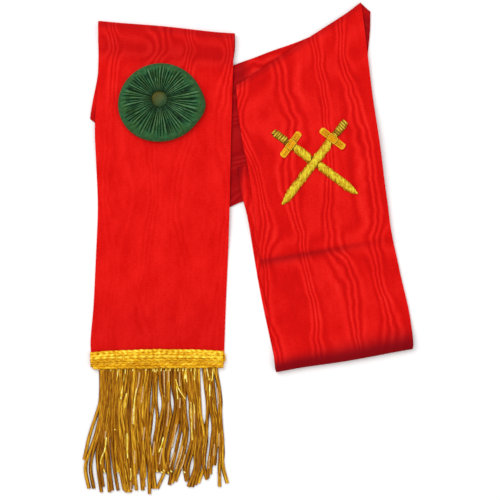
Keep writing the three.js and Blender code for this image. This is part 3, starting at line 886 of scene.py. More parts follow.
def smooth_noise(rng, count, waves):
    """A smooth closed curve of values around 0."""
    turn = 2 * np.pi * np.arange(count) / count
    total = np.zeros(count)
    for wave in range(1, waves + 1):
        total += rng.normal() * np.sin(wave * turn + rng.uniform(0, 6.3)) / wave**0.5
    return total / waves**0.5


def grid_faces(rows, columns):
    """Faces of rings that close on themselves, wound to face away from their middle."""
    faces = []
    for row in range(rows - 1):
        here, above = row * columns, (row + 1) * columns
        for j in range(columns):
            after = (j + 1) % columns
            faces.append((here + j, here + after, above + after, above + j))
    return faces


def closed_rings(name, place, height, ends, material):
    """Rings round the rosette's middle, closed by a point there at the height of each end."""
    rows, columns = place.shape
    points = list(spatial(place, height))
    faces = grid_faces(rows, columns)
    low_centre, high_centre = len(points), len(points) + 1
    last = (rows - 1) * columns
    for j in range(columns):
        after = (j + 1) % columns
        faces += [(low_centre, after, j), (high_centre, last + j, last + after)]
    points += [(rosette_middle.real, rosette_middle.imag, end) for end in ends]
    return mesh_object(name, points, faces, [material])


def crests(degrees, reach, upper):
    """Heights of the gathers, 0 to 1. Each has its own size, lean and end, and some of them fork."""
    rng = np.random.default_rng(ROSETTE_SEED)
    sway = smooth_noise(rng, SECTORS, 24) * GATHER_SWAY
    curl = smooth_noise(rng, SECTORS, 9) * GATHER_CURL
    phase = GATHERS * degrees / 360 + sway + curl * (reach - 0.3) ** 2
    number = np.floor(phase).astype(int) % GATHERS
    ends = rng.uniform(0.84, 1.0, GATHERS)[number]
    sizes = rng.uniform(0.6, 1.0, GATHERS)[number]
    skew = rng.uniform(-0.16, 0.16, GATHERS)[number]
    forks = np.where(rng.random(GATHERS) < FORK_SHARE, rng.uniform(0.45, 0.7, GATHERS), 2.0)[number]
    gathered = fade(reach, ends - 0.16, ends) * upper
    within = phase % 1
    ridge = np.sin(np.pi * np.clip(within + skew * np.sin(np.pi * within), 0, 1)) ** 0.8
    split = 0.5 * (1 - fade(reach, forks, forks + 0.08)) * bump_at(within, 0.5, 0.12)
    return (ridge * sizes - split) * gathered + SMOOTH_CREST * (1 - gathered)


def rosette():
    degrees = (360 * np.arange(SECTORS) / SECTORS)[None, :]
    outline = rosette_outline(degrees)
    share, extra, up, depth = (column[:, None] for column in smooth_rows(ROSETTE_SECTIONS, SECTION_ROWS).T)
    radius = share * outline + extra
    reach = radius / outline
    upper = np.arange(len(radius))[:, None] > UNDER_SECTIONS * SECTION_ROWS
    crest = crests(degrees, reach, upper)
    puff = np.sin(degrees * 0.31 + 9 * reach) + np.sin(degrees * 0.83 + 21 * reach + 1)
    high = up * ROSETTE_HEIGHT + depth * GATHER_DEPTH * (crest - 0.6) + 0.1 * puff * (up > 0.3)
    place = rosette_middle + radius * np.exp(1j * np.radians(degrees))
    ends = (seat, seat + WELL_SHARE * ROSETTE_HEIGHT)
    made = closed_rings("rosette_gathers", place, bed_height(panel, place) + SEAM + high, ends, ROSETTE)
    # Painted shade: darker in the valleys and towards the middle, round the button
    shade = crest - 0.15 * fade(reach, 0.2, 0.4)
    add_attribute(made.data, "crest", np.append(shade.ravel(), [0.2, 0.2]))
    return made


def button():
    profile = smooth_rows(BUTTON_SECTIONS, BUTTON_SECTION_ROWS)
    angle = 2 * np.pi * np.arange(BUTTON_SECTORS)[None, :] / BUTTON_SECTORS
    lumps = 1 + 0.02 * np.sin(3 * angle + 0.5) + 0.012 * np.sin(7 * angle)
    place = rosette_middle + profile[:, :1] * BUTTON_RADIUS * lumps * np.exp(1j * angle)
    foot = seat + WELL_SHARE * ROSETTE_HEIGHT
    height = foot + profile[:, 1:] * BUTTON_HEIGHT
    return closed_rings("rosette_button_cloth", place, height, (foot, foot + BUTTON_HEIGHT), BUTTON)


rosette_piece = rosette()
button_piece = button()


# Threads and cords: one Geometry Nodes tree sweeps a section along every path


CORD_SOCKETS = {
    "Geometry": "Geometry", "Radius": "Float", "Flatness": "Float", "Ply depth": "Float",
    "Lay length": "Float", "Sides": "Int", "Plies": "Int", "Material": "Material",
}


def cord_tree():
    """Sweeps a ring with lobes for the plies along every edge path, turned along it by the lay."""
    tree = bpy.data.node_groups.new("swept_cord", "GeometryNodeTree")
    for name, kind in CORD_SOCKETS.items():
        tree.interface.new_socket(name, in_out="INPUT", socket_type="NodeSocket" + kind)
    tree.interface.new_socket("Geometry", in_out="OUTPUT", socket_type="NodeSocketGeometry")
    net = Net(tree)

    def step(kind, **inputs):
        return net.node("GeometryNode" + kind, None, {key.replace("_", " "): inputs[key] for key in inputs})

    given = net.node("NodeGroupInput")
    girth = net.node("GeometryNodeInputNamedAttribute", {"data_type": "FLOAT"}, {"Name": "girth"})
    curve = step("MeshToCurve", Mesh=given["Geometry"])
    curve = net.node("GeometryNodeSetCurveNormal", {"mode": "Z_UP"}, {"Curve": curve})
    curve = step("SetCurveRadius", Curve=curve, Radius=girth)
    tilt = step("SplineParameter")["Length"] / given["Lay length"] * (2 * math.pi)
    curve = step("SetCurveTilt", Curve=curve, Tilt=tilt)
    ring = step("CurvePrimitiveCircle", Resolution=given["Sides"], Radius=given["Radius"])
    turn = step("InputIndex") / given["Sides"] * (2 * math.pi)
    lobes = net.maths("COSINE", turn * given["Plies"])
    aside = net.maths("ABSOLUTE", net.maths("COSINE", turn))
    # The groove and side attributes mark where the materials paint shade between the plies and at a cord's
    # sides
    for label, value in (("groove", lobes), ("side", aside)):
        ring = step("StoreNamedAttribute", Geometry=ring, Name=label, Value=value)
    swell = lobes * given["Ply depth"] + 1
    spot = step("InputPosition")
    grown = net.node("ShaderNodeVectorMath", {"operation": "SCALE"}, {0: spot, "Scale": swell})
    flat = net.node("ShaderNodeCombineXYZ", None, {0: 1.0, 1: given["Flatness"], 2: 1.0})
    shaped = net.node("ShaderNodeVectorMath", {"operation": "MULTIPLY"}, {0: grown, 1: flat})
    section = step("SetPosition", Geometry=ring, Position=shaped)
    swept = step("CurveToMesh", Curve=curve, Profile_Curve=section, Fill_Caps=True)
    swept = step("SetShadeSmooth", Geometry=swept)
    real = step("RealizeInstances", Geometry=swept)
    real = step("SetMaterial", Geometry=real, Material=given["Material"])
    net.node("NodeGroupOutput", None, {"Geometry": real})
    return tree


CORD_TREE = cord_tree()
# Painted shade: the dark level of cores and grounds, which show only in the gaps between threads
CORE_SHADE = 0.1


def path_of(rows, girth, shade):
    """A path for sweep. Girth and shade hold for all of it or are given for each of its points."""
    return np.column_stack([rows, np.broadcast_to(girth, len(rows)), np.broadcast_to(shade, len(rows))])


def sweep(name, paths, material, radius, sides=6, plies=0, ply_depth=0.0, lay=1e6, flatness=1.0):
    """Cords along paths. A path is rows of x, y, z, girth and shade; lengths are in millimetres."""
    points = np.concatenate([np.asarray(path, float) for path in paths])
    edges = []
    first = 0
    for path in paths:
        edges += [(i, i + 1) for i in range(first, first + len(path) - 1)]
        first += len(path)
    mesh = bpy.data.meshes.new(name)
    mesh.from_pydata((points[:, :3] * MM).tolist(), edges, [])
    add_attribute(mesh, "girth", points[:, 3])
    add_attribute(mesh, "shade", points[:, 4])
    made = placed(name, mesh)
    modifier = made.modifiers.new("cords", "NODES")
    modifier.node_group = CORD_TREE
    settings = {
        "Radius": radius * MM, "Flatness": flatness, "Ply depth": ply_depth, "Lay length": lay * MM,
        "Sides": sides, "Plies": plies, "Material": material,
    }
    for socket in CORD_TREE.interface.items_tree:
        if socket.in_out == "INPUT" and socket.name in settings:
            modifier[socket.identifier] = settings[socket.name]
    graph = bpy.context.evaluated_depsgraph_get()
    real = bpy.data.meshes.new_from_object(
        made.evaluated_get(graph), preserve_all_data_layers=True, depsgraph=graph
    )
    made.modifiers.clear()
    made.data = real
    real.name = name
    return made


# Braid

BRAID_DEPTH = 14.6
BRAID_ARCH = 2
BRAID_OVERHANG = 0.4
BRAID_FOOT_DROP = 2.6
BRAID_BOTTOM = 2.4
BRAID_HALF = HALF_WIDTH + BRAID_OVERHANG
BRAID_POINTS = 190
CORD_REST = 0.95
CORD_SIDES = 12
CORD_PLIES = 2
CORD_PLY_DEPTH = 0.08
CORD_PATCHES = 24
TUCK = 1.3
TUCKED_BELOW = 0.26
THIN_CORD = 0.8
THIN_CORD_DROP = 0.3
PLY_HIGHLIGHT_SPACING = 3.7
GLEAM_LEFT = -37
GLEAM_RIGHT = 34
BRAID_SEED = 8

braid_right = direction(BRAID_LEAN)
braid_up = direction(BRAID_LEAN + 90)
braid_foot = panel.start - braid_up * BRAID_FOOT_DROP


def at_braid(right, upward):
    """Plan points at places right of the braid's middle and up from its lower edge."""
    return braid_foot + braid_right * right + braid_up * upward


def braid_lift(place):
    """How much the layers below lift the braid."""
    return bed_height(panel, place) - CLOTH_MIDDLE - WALL / 2


def braid_depth(right):
    """The braid's depth at places right of its middle. Its upper edge is arched."""
    return BRAID_DEPTH - BRAID_ARCH * (right / BRAID_HALF) ** 2


# Two-ply cords of the braid from its lower edge up: share of the depth, radius, length of the lay, shade
BRAID_CORDS = (
    (0.07, 1.15, 9.0, 0.4), (0.21, 1.15, -9.0, 0.4), (0.33, 0.6, 5.0, 0.8), (0.44, 1.2, 9.5, 0.45),
    (0.56, 0.7, -6.0, 0.8), (0.645, 0.75, 6.0, 1.0), (0.765, 1.2, -9.5, 0.65), (0.9, 1.3, 9.5, 0.7),
)


def braid_cord(number, rng):
    """One cord with brighter and darker stretches, and painted highlights along the twist on the upper
    cords. The lower ones are tucked in at the left.
    """
    share, radius, lay, base_shade = BRAID_CORDS[number]
    tuck = TUCK + 60 * max(0, TUCKED_BELOW - share) ** 2
    right = np.linspace(-BRAID_HALF + tuck + 0.3, BRAID_HALF - 0.6, BRAID_POINTS)
    sway = 0.1 * np.sin(right / 5.3 + 2.1 * number) + 0.06 * np.sin(right / 2.1 + number)
    place = at_braid(right, braid_depth(right) * share + sway)
    high = braid_lift(place) + BRAID_BOTTOM + CORD_REST - THIN_CORD_DROP * (radius < THIN_CORD)
    ends = fade(abs(right / BRAID_HALF), 0.965, 1.0) * 0.3 + 0.7
    girth = ends * (1 + 0.08 * np.sin(right / 3.1 + number))
    stretches = np.linspace(-BRAID_HALF, BRAID_HALF, CORD_PATCHES)
    patches = np.interp(right, stretches, rng.uniform(-0.3, 0.3, CORD_PATCHES))
    uneven = 1.3 * np.sin(right / 4.1 + number) + 3 * share
    # Painted highlights and shade in turn along the upper cords, where their twisted plies catch the light
    flecks = 0.5 * max(0, share - 0.45) * np.sin(right * (2 * np.pi / PLY_HIGHLIGHT_SPACING) + uneven)
    path = path_of(spatial(place, high), girth, np.clip(base_shade + patches + flecks, 0, 1))
    return sweep(f"braid_cord_{number}", [path], BRAID, radius, CORD_SIDES, CORD_PLIES, CORD_PLY_DEPTH, lay)


def bright_thread():
    """The bright thread along the braid's middle, broken into flecks and strongest at the right."""
    right = np.linspace(-BRAID_HALF + 1.5, BRAID_HALF - 0.8, BRAID_POINTS)
    place = at_braid(right, braid_depth(right) * 0.6 - 0.4 * right / BRAID_HALF)
    girth = 0.5 + 0.3 * fade(abs(right - GLEAM_LEFT), 4, 20) + 0.55 * fade(abs(right - GLEAM_RIGHT), 14, 36)
    girth = girth * (0.85 + 0.3 * np.sin(right * 1.7 + 2 * np.sin(right * 0.43)))
    shine = np.clip(0.9 + 0.4 * np.sin(right * 1.1), 0.6, 1.3)
    path = path_of(spatial(place, braid_lift(place) + BRAID_BOTTOM + 1.65), girth, shine)
    return sweep("braid_bright_thread", [path], BRAID, 0.66, 8, CORD_PLIES, 0.14, 3.2)


def end_loop():
    """The loop of cord that turns round the braid's right end."""
    turn = np.linspace(-0.6, 1.1, 16) * math.pi
    loop = at_braid(BRAID_HALF - 0.6 + 1.1 * np.cos(turn), BRAID_DEPTH * 0.52 + 3.1 * np.sin(turn))
    path = path_of(spatial(loop, BRAID_BOTTOM + 0.4), 0.9, 0.5)
    return sweep("braid_end_loop", [path], BRAID, 0.6, 10, CORD_PLIES, 0.2, 4)


def braid_ground():
    """The flat band under the cords, in painted shade, which closes what shows between them."""
    rows, columns = 60, 8
    out = np.linspace(-1, 1, rows)[:, None]
    inner = np.linspace(0.05, 0.95, columns)[None, :]
    right = out * (BRAID_HALF - 1.4 - 6 * np.maximum(0, 0.35 - inner))
    place = at_braid(right, braid_depth(out * BRAID_HALF) * inner)
    bottom = braid_lift(place) + BRAID_BOTTOM
    points = np.concatenate([spatial(place, bottom + 1.1), spatial(place, bottom)])
    count = rows * columns
    faces = sheet_faces(np.arange(count).reshape(rows, columns), count)
    ground = mesh_object("braid_ground", points, faces, [BRAID])
    add_attribute(ground.data, "shade", np.full(2 * count, CORE_SHADE))
    return ground


def braid():
    rng = np.random.default_rng(BRAID_SEED)
    cords = [braid_cord(number, rng) for number in range(len(BRAID_CORDS))]
    return joined("braid_cords", [*cords, bright_thread(), end_loop(), braid_ground()])


braid_piece = braid()


# Fringe

# Strands from left to right, in pixels of the photograph: width, places right at each of the levels down
# that the strand reaches, and its tip
STRAND_DOWNS = (367, 390, 402, 415, 428, 440, 452, 465)
STRANDS = (
    (2.1, (101, 100.8, 99.8, 96.2, 92, 88.8, 86), (84.4, 460)),
    (2.4, (102, 101.6, 101.4, 100.4, 97.2, 93.8, 89.6, 85.9), (89.2, 489.5)),
    (2.5, (103.5, 103, 102.8, 102, 99.8, 97, 93, 90.2), (94.2, 489)),
    (3.2, (105, 104.4, 104, 103.3, 101.6, 99.6, 97.4, 97.6), (101.5, 492.5)),
    (3.2, (107, 106.2, 105.6, 104.6, 103.4, 102.2, 100.6, 101), (103.4, 487.5)),
    (3.2, (109, 108, 107.4, 106.4, 105.4, 104.6, 103.4, 103.6), (104.6, 473)),
    (3.2, (111, 110, 109, 107.6, 106.6, 106, 106, 107.4), (109.8, 493.3)),
    (3.2, (113, 112, 111, 109.6, 108.6, 108.2, 108.4, 109.2), (112.6, 491.6)),
    (3.0, (115, 113.8, 113, 112.2, 111.8, 111.8, 112.2, 113.6), (118.2, 491)),
    (3.2, (117, 115.8, 115.2, 114.8, 114.8, 115, 115.6, 116.8), (118, 472.5)),
    (3.2, (119.4, 118, 117.2, 116.8, 117, 117.4, 118.2, 120), (125, 491.5)),
    (3.2, (122, 120.4, 119.4, 119, 119.4, 120, 120.8, 122.4), (126.4, 493.5)),
    (3.2, (124.6, 122.8, 121.8, 121.4, 121.8, 122.4, 123.4, 124.8), (128.6, 493)),
    (3.2, (127.2, 125.4, 124.4, 124, 124.4, 125, 125.8, 127), (130.6, 493)),
    (3.2, (130, 128, 127, 126.6, 127, 127.6, 128.4, 129.4), (131.6, 489.5)),
    (3.2, (132.6, 130.6, 129.6, 129.2, 129.6, 130.2, 131, 131.8), (133.4, 485)),
    (3.2, (135, 133, 132, 131.6, 132, 132.6, 133.4, 134.2), (137, 490.5)),
    (3.2, (137.6, 135.6, 134.6, 134.2, 134.6, 135.2, 136, 136.8), (136.8, 474)),
    (3.2, (140.2, 138.4, 137.4, 137, 137.4, 138, 139, 140.4), (143, 491.3)),
    (3.2, (142.8, 141.2, 140.2, 139.8, 140, 140.6, 141.6, 142.8), (144.2, 488)),
    (3.2, (145.6, 144, 143, 142.4, 142.6, 143.2, 144, 145), (144.8, 478)),
    (3.2, (148.4, 146.8, 145.8, 145.2, 145.2, 145.8, 146.8, 148.4), (149.4, 493.8)),
    (3.0, (151, 149.6, 148.8, 148, 147.4, 147.6, 148.8, 150.4), (150.4, 489)),
    (2.8, (153.6, 153.4, 153.4, 151.8, 150.2, 149.6, 151, 152.2), (153.8, 488.3)),
    (3.0, (156.8, 156.2, 156.0, 157.2, 156.2, 154.4, 153.2, 153.4), (155.4, 489.6)),
    (3.0, (159.6, 161.2, 163.6, 161.6, 158.6, 156.8, 155.8, 156.6), (157, 472.5)),
    (3.0, (163, 164, 165.6, 164.6, 162, 160, 158.6, 159.4), (160.4, 472.5)),
    (3.0, (166.2, 167, 167.6, 167.2, 164.8, 162.8, 161, 161.6), (163.2, 473)),
    (3.0, (168.6, 169, 169.2, 170.2, 167.8, 165.4, 163.4, 164), (165.6, 473.5)),
    (3.0, (171.2, 173, 175.4, 173.8, 171.4, 169, 166.8, 167), (168.4, 474.5)),
    (3.0, (174, 176, 178, 177, 174.4, 171.6, 169.2, 168.8), (171, 473)),
    (2.6, (175.2, 177.4, 178.6, 178.6, 175.6, 172, 168.6, 166.4), (156.6, 489.6)),
    (3.0, (176.8, 179, 180.6, 181, 180.6, 178.2, 175.3, 172.8), (169.2, 484.8)),
    (3.0, (179.6, 181.6, 183.6, 184.4, 184.6, 183.8, 181, 177.4), (172.2, 483)),
    (3.0, (182.4, 184.8, 185.2, 185.6, 187.2, 186.2, 184.4, 181.4), (175.4, 482)),
    (3.0, (185.2, 187.6, 190.5, 190.4, 191.4, 191.6, 188.2, 184.8), (186.4, 482.3)),
    (2.6, (186.6, 189.6, 191.8, 192, 193, 193.4, 191.8, 188.6), (187.8, 481)),
    (3.0, (188, 190.6, 193, 193.6, 194.6, 195, 194.6, 195.2), (188.4, 486.6)),
    (3.2, (190.8, 193.2, 195.4, 196, 197, 197.4, 196.8, 197), (192, 488)),
    (3.2, (193.6, 195.8, 197.6, 198.6, 199.4, 199.6, 198.8, 198.2), (197, 484)),
    (3.0, (196.4, 198.2, 199.4, 200.6, 201.6, 201.8, 200.6, 199.8), (195.2, 486)),
    (2.8, (198.6, 199.2, 199.6, 200.8, 203.2, 204, 203.6, 204), (197.8, 483)),
    (3.0, (204.2, 206, 207, 207.2, 206.8, 206.2, 204.8, 204), (207.3, 480)),
    (2.8, (205.4, 207.4, 208.4, 207.8, 205.8, 204.4, 203, 203.6), (206.6, 478)),
    (3.0, (207.4, 209.2, 210.4, 212, 212.8, 212, 210.6, 208.6), (207.8, 478.5)),
    (3.0, (209.8, 211.4, 212.8, 214.2, 215.2, 214.6, 213, 211), (210.6, 475.4)),
    (3.0, (212.2, 213.8, 215, 216.2, 217.2, 217, 215.4, 213.9), (213.9, 466.5)),
    (2.6, (214.6, 218.8, 219.6, 219.4, 220, 220.2, 219.6, 219.6), (219.6, 486.5)),
    (2.4, (215.8, 219.4, 220.3, 220.4, 221.4, 222.6, 223, 222.4), (227.2, 483.4)),
)
# Places on the strands that catch the light: knots of right and down, as the photograph shows them
GLINTS = (
    ((118.8, 369), (117.8, 374), (116.6, 380)), ((125.6, 368), (124.8, 375), (123.4, 381)),
    ((195, 368), (194.6, 374), (194.8, 380)), ((207.6, 369), (208.2, 375), (209.4, 380)),
    ((212.8, 370), (212.6, 376), (211.8, 381)), ((186, 368), (185.2, 373), (185, 379)),
    ((106.6, 437), (105, 449), (101, 459)), ((163.6, 437), (161.6, 445), (159, 452)),
    ((127.2, 433), (127.3, 446), (127.8, 458)), ((154.2, 367), (154.6, 369), (155.2, 372)),
    ((101.8, 458), (100.8, 461), (101, 464)), ((209.6, 384), (209.8, 391), (210, 396)),
)
SHEENS = (
    ((139.6, 372), (138.2, 384), (135.2, 396)), ((143.2, 386), (142.6, 394), (141.2, 403)),
    ((164.2, 370), (164.4, 384), (164.8, 397)), ((168.6, 370), (168.8, 376), (168.6, 382)),
    ((168.8, 402), (168.2, 414), (166.8, 426)), ((176.4, 424), (174.4, 436), (171.8, 447)),
    ((179.6, 372), (179.6, 380), (180, 386)), ((180.2, 398), (180, 403), (179.8, 408)),
    ((144.8, 427), (144, 433), (143.4, 440)), ((134.6, 450), (134.7, 457), (134.8, 464)),
    ((105.8, 431), (105.6, 434), (105.2, 438)), ((217.2, 388), (218, 395), (218.4, 404)),
    ((219.2, 433), (219, 440), (219, 446)), ((154.4, 441), (153.8, 448), (153, 455)),
    ((183, 446), (180, 458), (175.6, 469)), ((162.4, 448), (160.6, 456), (159.4, 464)),
    ((174.6, 452), (171.8, 460), (169.6, 467)), ((214.6, 444), (214, 450), (213.6, 456)),
    ((194.4, 412), (194.4, 420), (194.6, 429)), ((133, 408), (132.8, 416), (132.6, 424)),
    ((209.4, 456), (209.2, 462), (208.8, 468)), ((185.4, 454), (183.4, 462), (181, 469)),
    ((131, 482), (131, 486), (130.8, 490)),
)
SPARKLES = (
    ((136.8, 388), (134.8, 399), (134, 409), (133.8, 424)), ((126.6, 393), (126, 401), (125, 408)),
    ((123, 386), (121.8, 392), (121, 399)), ((175.8, 379), (179, 389), (185.6, 399)),
    ((176.6, 386), (177.2, 392), (178, 399)), ((191, 402), (191.4, 422), (192.4, 440)),
    ((194, 404), (194.4, 409), (194.8, 413)), ((130.6, 468), (131.2, 474), (130.8, 480)),
    ((114.2, 429.6), (115, 429.4), (116, 429.2)), ((186.2, 372), (186.4, 377), (187, 382)),
    ((118.4, 470), (118.2, 471.4), (118, 472.5)), ((104, 469), (104.4, 471), (105, 472.5)),
)
# Strand heads that catch the light, by places right, and strand tips, by places right and down
HEAD_GLINTS = (
    104, 111, 118, 125, 133, 146, 153, 157, 161, 166, 170, 175, 178, 183, 186, 191, 195, 207, 213,
)
TIP_GLINTS = ((157, 470), (161.4, 471), (163.6, 469.4), (168, 471.6), (170.8, 470.2), (184, 471))
HEAD_DOWN = 357
STRAND_STEP = 1.8
STRAND_FLATNESS = 0.4
WIDEST = 3.2
STRAND_RADIUS = WIDEST / 2 * MM_PER_PIXEL
FULL_TURN = 6.3
HEAD_HEIGHT = 1.5
LIGHT_HEIGHT = 1.9
WINDING_RADIUS = 0.3
GLINT_RADIUS = 0.6
SHEEN_RADIUS = 0.66
SPARKLE_RADIUS = 0.5
FRINGE_SEED = 5
LIGHT_SEED = 3

# The two layers of strands, on the floor and on those: height of the rest, its spread, waves in height,
# strand knots' spread aside in pixels, shade. The lower layer's darker shade is painted shade under the
# upper strands
LAYERS = ((0.6, 0, 0, 0.32, 0.14), (1.3, 0.3, 0.15, 0.25, 0.44))


def smooth_through(knots, values, at):
    """A smooth curve through knots at uneven places."""
    knots, values = np.asarray(knots, float), np.asarray(values, float)
    slopes = np.gradient(values, knots)
    cell = np.clip(np.searchsorted(knots, at) - 1, 0, len(knots) - 2)
    span = knots[cell + 1] - knots[cell]
    t = (at - knots[cell]) / span
    near = (1 + 2 * t) * (1 - t) ** 2 * values[cell] + t * (1 - t) ** 2 * span * slopes[cell]
    far = t**2 * (3 - 2 * t) * values[cell + 1] + t**2 * (t - 1) * span * slopes[cell + 1]
    return near + far


def strand_path(width, rights, tip, layer, rng):
    """One strand from its head under the braid to its tip."""
    rest, spread, waves, astray, base_shade = LAYERS[layer]
    tip_right, tip_down = tip
    downs = [HEAD_DOWN, *STRAND_DOWNS[: len(rights)], tip_down]
    knots = [rights[0], *rights, tip_right]
    aside = rng.normal(size=len(knots)) * astray
    down = np.arange(HEAD_DOWN, tip_down + 0.1, STRAND_STEP)
    place = on_photo(smooth_through(downs, np.array(knots) + aside, down), down)
    along = (down - HEAD_DOWN) / (tip_down - HEAD_DOWN)
    rest += spread * rng.random()
    swell = waves * np.sin(along * rng.uniform(5, 12) + rng.uniform(0, FULL_TURN))
    high = rest + swell + (HEAD_HEIGHT - rest) * fade(down, 366, 378)
    uneven = 1 + 0.07 * np.sin(along * 16 + rng.uniform(0, FULL_TURN))
    girth = 0.97 * width / WIDEST * uneven * (0.62 + 0.38 * fade(along, 0.9, 1.01))
    wave = rng.uniform(4, 10) * along + rng.uniform(0, FULL_TURN)
    shade = base_shade + 0.27 * rng.normal() + 0.22 * np.sin(wave) + 0.15 * fade(down, 367, 376) * layer
    return path_of(spatial(place, high), girth, np.clip(shade, 0, 1))


def winding_thread(strand, rng):
    """A thin thread that winds over a strand."""
    turn = np.arange(len(strand)) / rng.uniform(2.7, 5.5) + rng.uniform(0, FULL_TURN)
    girth = strand[:, 3]
    thread = strand.copy()
    thread[:, 0] += 0.6 * STRAND_RADIUS * girth * np.cos(turn)
    thread[:, 2] += STRAND_FLATNESS * STRAND_RADIUS * girth * (0.75 + 0.2 * np.abs(np.sin(turn)))
    thread[:, 3] = 0.6 + 0.4 * rng.random()
    thread[:, 4] = np.clip(rng.uniform(-0.1, 0.9) + 0.2 * np.sin(turn), 0, 1)
    return thread


def catching_light(name, lines, material, radius, flatness=0.5, beaded=False):
    """Thin threads on top of the fringe. Beaded ones swell and shrink from row to row."""
    rng = np.random.default_rng(LIGHT_SEED)
    paths = []
    for line in lines:
        rights, downs = np.array(line).T
        knots = np.linspace(0, 1, len(line))
        length = int(abs(downs[-1] - downs[0]) + abs(rights[-1] - rights[0]))
        rows = (length if beaded else 2 * length) + 4
        at = np.linspace(0, 1, rows)
        down = smooth_through(knots, downs, at)
        place = on_photo(smooth_through(knots, rights, at), down)
        beads = np.where(np.arange(rows) % 2, 0.02, rng.uniform(0.3, 1.4, rows))
        girth = beads if beaded else np.sin(np.pi * at) ** 0.7 * rng.uniform(0.45, 1.05, rows) + 0.1
        lift = LIGHT_HEIGHT + 0.05 * fade(down, 367, 378)
        paths.append(path_of(spatial(place, lift), girth, 0.8))
    return sweep(name, paths, material, radius, flatness=flatness)


def fringe():
    rng = np.random.default_rng(FRINGE_SEED)
    low, high = ([strand_path(*strand, layer, rng) for strand in STRANDS] for layer in (0, 1))
    windings = [winding_thread(path, rng) for path in high for _ in range(2)]
    short = [((right, 366), (right + 0.2, 368.5), (right, 371)) for right in HEAD_GLINTS]
    for right, down in TIP_GLINTS:
        short.append(((right, down), (right + 0.3, down + 0.8), (right + 1.2, down + 1.6)))
    return joined("fringe_cords", [
        sweep("fringe_strand_cords", low + high, FRINGE, STRAND_RADIUS, 8, flatness=STRAND_FLATNESS),
        sweep("fringe_winding_threads", windings, FRINGE, WINDING_RADIUS, 4),
        catching_light("fringe_glints", [*GLINTS, *short], GLINT, GLINT_RADIUS),
        catching_light("fringe_sheens", SHEENS, SHEEN, SHEEN_RADIUS),
        catching_light("fringe_sparkles", SPARKLES, GLINT, SPARKLE_RADIUS, 0.8, beaded=True),
    ])


fringe_piece = fringe()


# Crossed swords

SWORD_LENGTH = 77.8
SWORDS_DOWN = 88.1
SWORDS_SHIFT = -0.9
SWORDS_WAY = 270 + 8.1
SWORDS_CROSS_ANGLE = 45.7
CROSSING_SHARE = 0.49
GRIP_LENGTH = 13.1
GRIP_WIDTH = 4.6
GRIP_HEIGHT = 1.9
GUARD_LENGTH = 22.6
GUARD_WIDTH = 5.6
GUARD_BLOCK_EXTRA = 0.5
GUARD_HEIGHT = 2.1
GUARD_BLOCK = 7
BLADE_WIDTH = 5.9
BLADE_HEIGHT = 1.7
TIP_LENGTH = 9

sword_panel = leg_named["front_right"]
swords_centre = sword_panel.start + sword_panel.along * SWORDS_DOWN + sword_panel.across * SWORDS_SHIFT
guard_start = GRIP_LENGTH + SEAM
blade_start = guard_start + GUARD_WIDTH + SEAM
crossing_at = CROSSING_SHARE * SWORD_LENGTH
full_cross = math.radians(2 * SWORDS_CROSS_ANGLE)
crossing_half = BLADE_WIDTH / 2 / math.sin(full_cross) * (1 + abs(math.cos(full_cross))) + SEAM
DOME_POWER = 0.42
ROUND_END = 0.9
SHORTEST_STITCH = 3
SATIN_SPACING = 0.62
SATIN_RADIUS = 0.42
FLECK_RADIUS = 0.34
CORD_RADIUS = 0.8
GAP_SHADE_CORD_RADIUS = 0.45
GUARD_THREAD_RADIUS = 0.3
GUARD_GAP_SHADE_RADIUS = 0.25
SWORDS_SEED = 23
WINDINGS = 7
WINDING_PITCH = 2.0


class Bar:
    """A padded embroidered bar. Points on it are given along it and across it from its start."""

    def __init__(self, start, way_degrees, table):
        self.start = start
        self.along = direction(way_degrees)
        self.across = direction(way_degrees + 90)
        self.table = np.array(table, float)

    def width(self, at):
        return np.interp(at, self.table[:, 0], self.table[:, 1])

    def height(self, at):
        return np.interp(at, self.table[:, 0], self.table[:, 2])

    def dome(self, at, aside):
        """Height of the padding over the cloth."""
        edge = np.clip(1 - (2 * aside / np.maximum(self.width(at), 0.1)) ** 2, 0, 1)
        return self.height(at) * edge**DOME_POWER

    def place(self, at, aside, lift):
        plan = self.start + self.along * at + self.across * aside
        return spatial(plan, bed_height(sword_panel, plan) + SEAM + lift)

    def stitch(self, at, aside, shade, girth=1.0, lift=0.0):
        """A thread that follows the padding through the given points."""
        at, aside = np.broadcast_arrays(np.asarray(at, float), np.asarray(aside, float))
        return path_of(self.place(at, aside, self.dome(at, aside) + lift), girth, shade)


def padding(name, bar, material, inset=0.25):
    """The closed core that the stitches are laid over, in painted shade where it shows between them."""
    first, last = bar.table[0, 0], bar.table[-1, 0]
    rows = max(4, int((last - first) / 0.8))
    arcs = 14
    at = np.linspace(first, last, rows)[:, None]
    turn = np.pi * np.arange(arcs + 1)[None, :] / arcs
    half = np.maximum(bar.width(at) / 2 - inset, 0.2)
    aside = half * np.cos(turn)
    lift = np.maximum(bar.height(at) - inset, 0.2) * np.sin(turn) ** 0.75
    points = bar.place(at, aside, lift)
    columns = arcs + 1
    faces = grid_faces(rows, columns)
    faces.append(tuple(range(columns))[::-1])
    faces.append(tuple((rows - 1) * columns + j for j in range(columns)))
    made = mesh_object(name, points, faces, [material])
    add_attribute(made.data, "shade", np.full(len(points), CORE_SHADE))
    return made


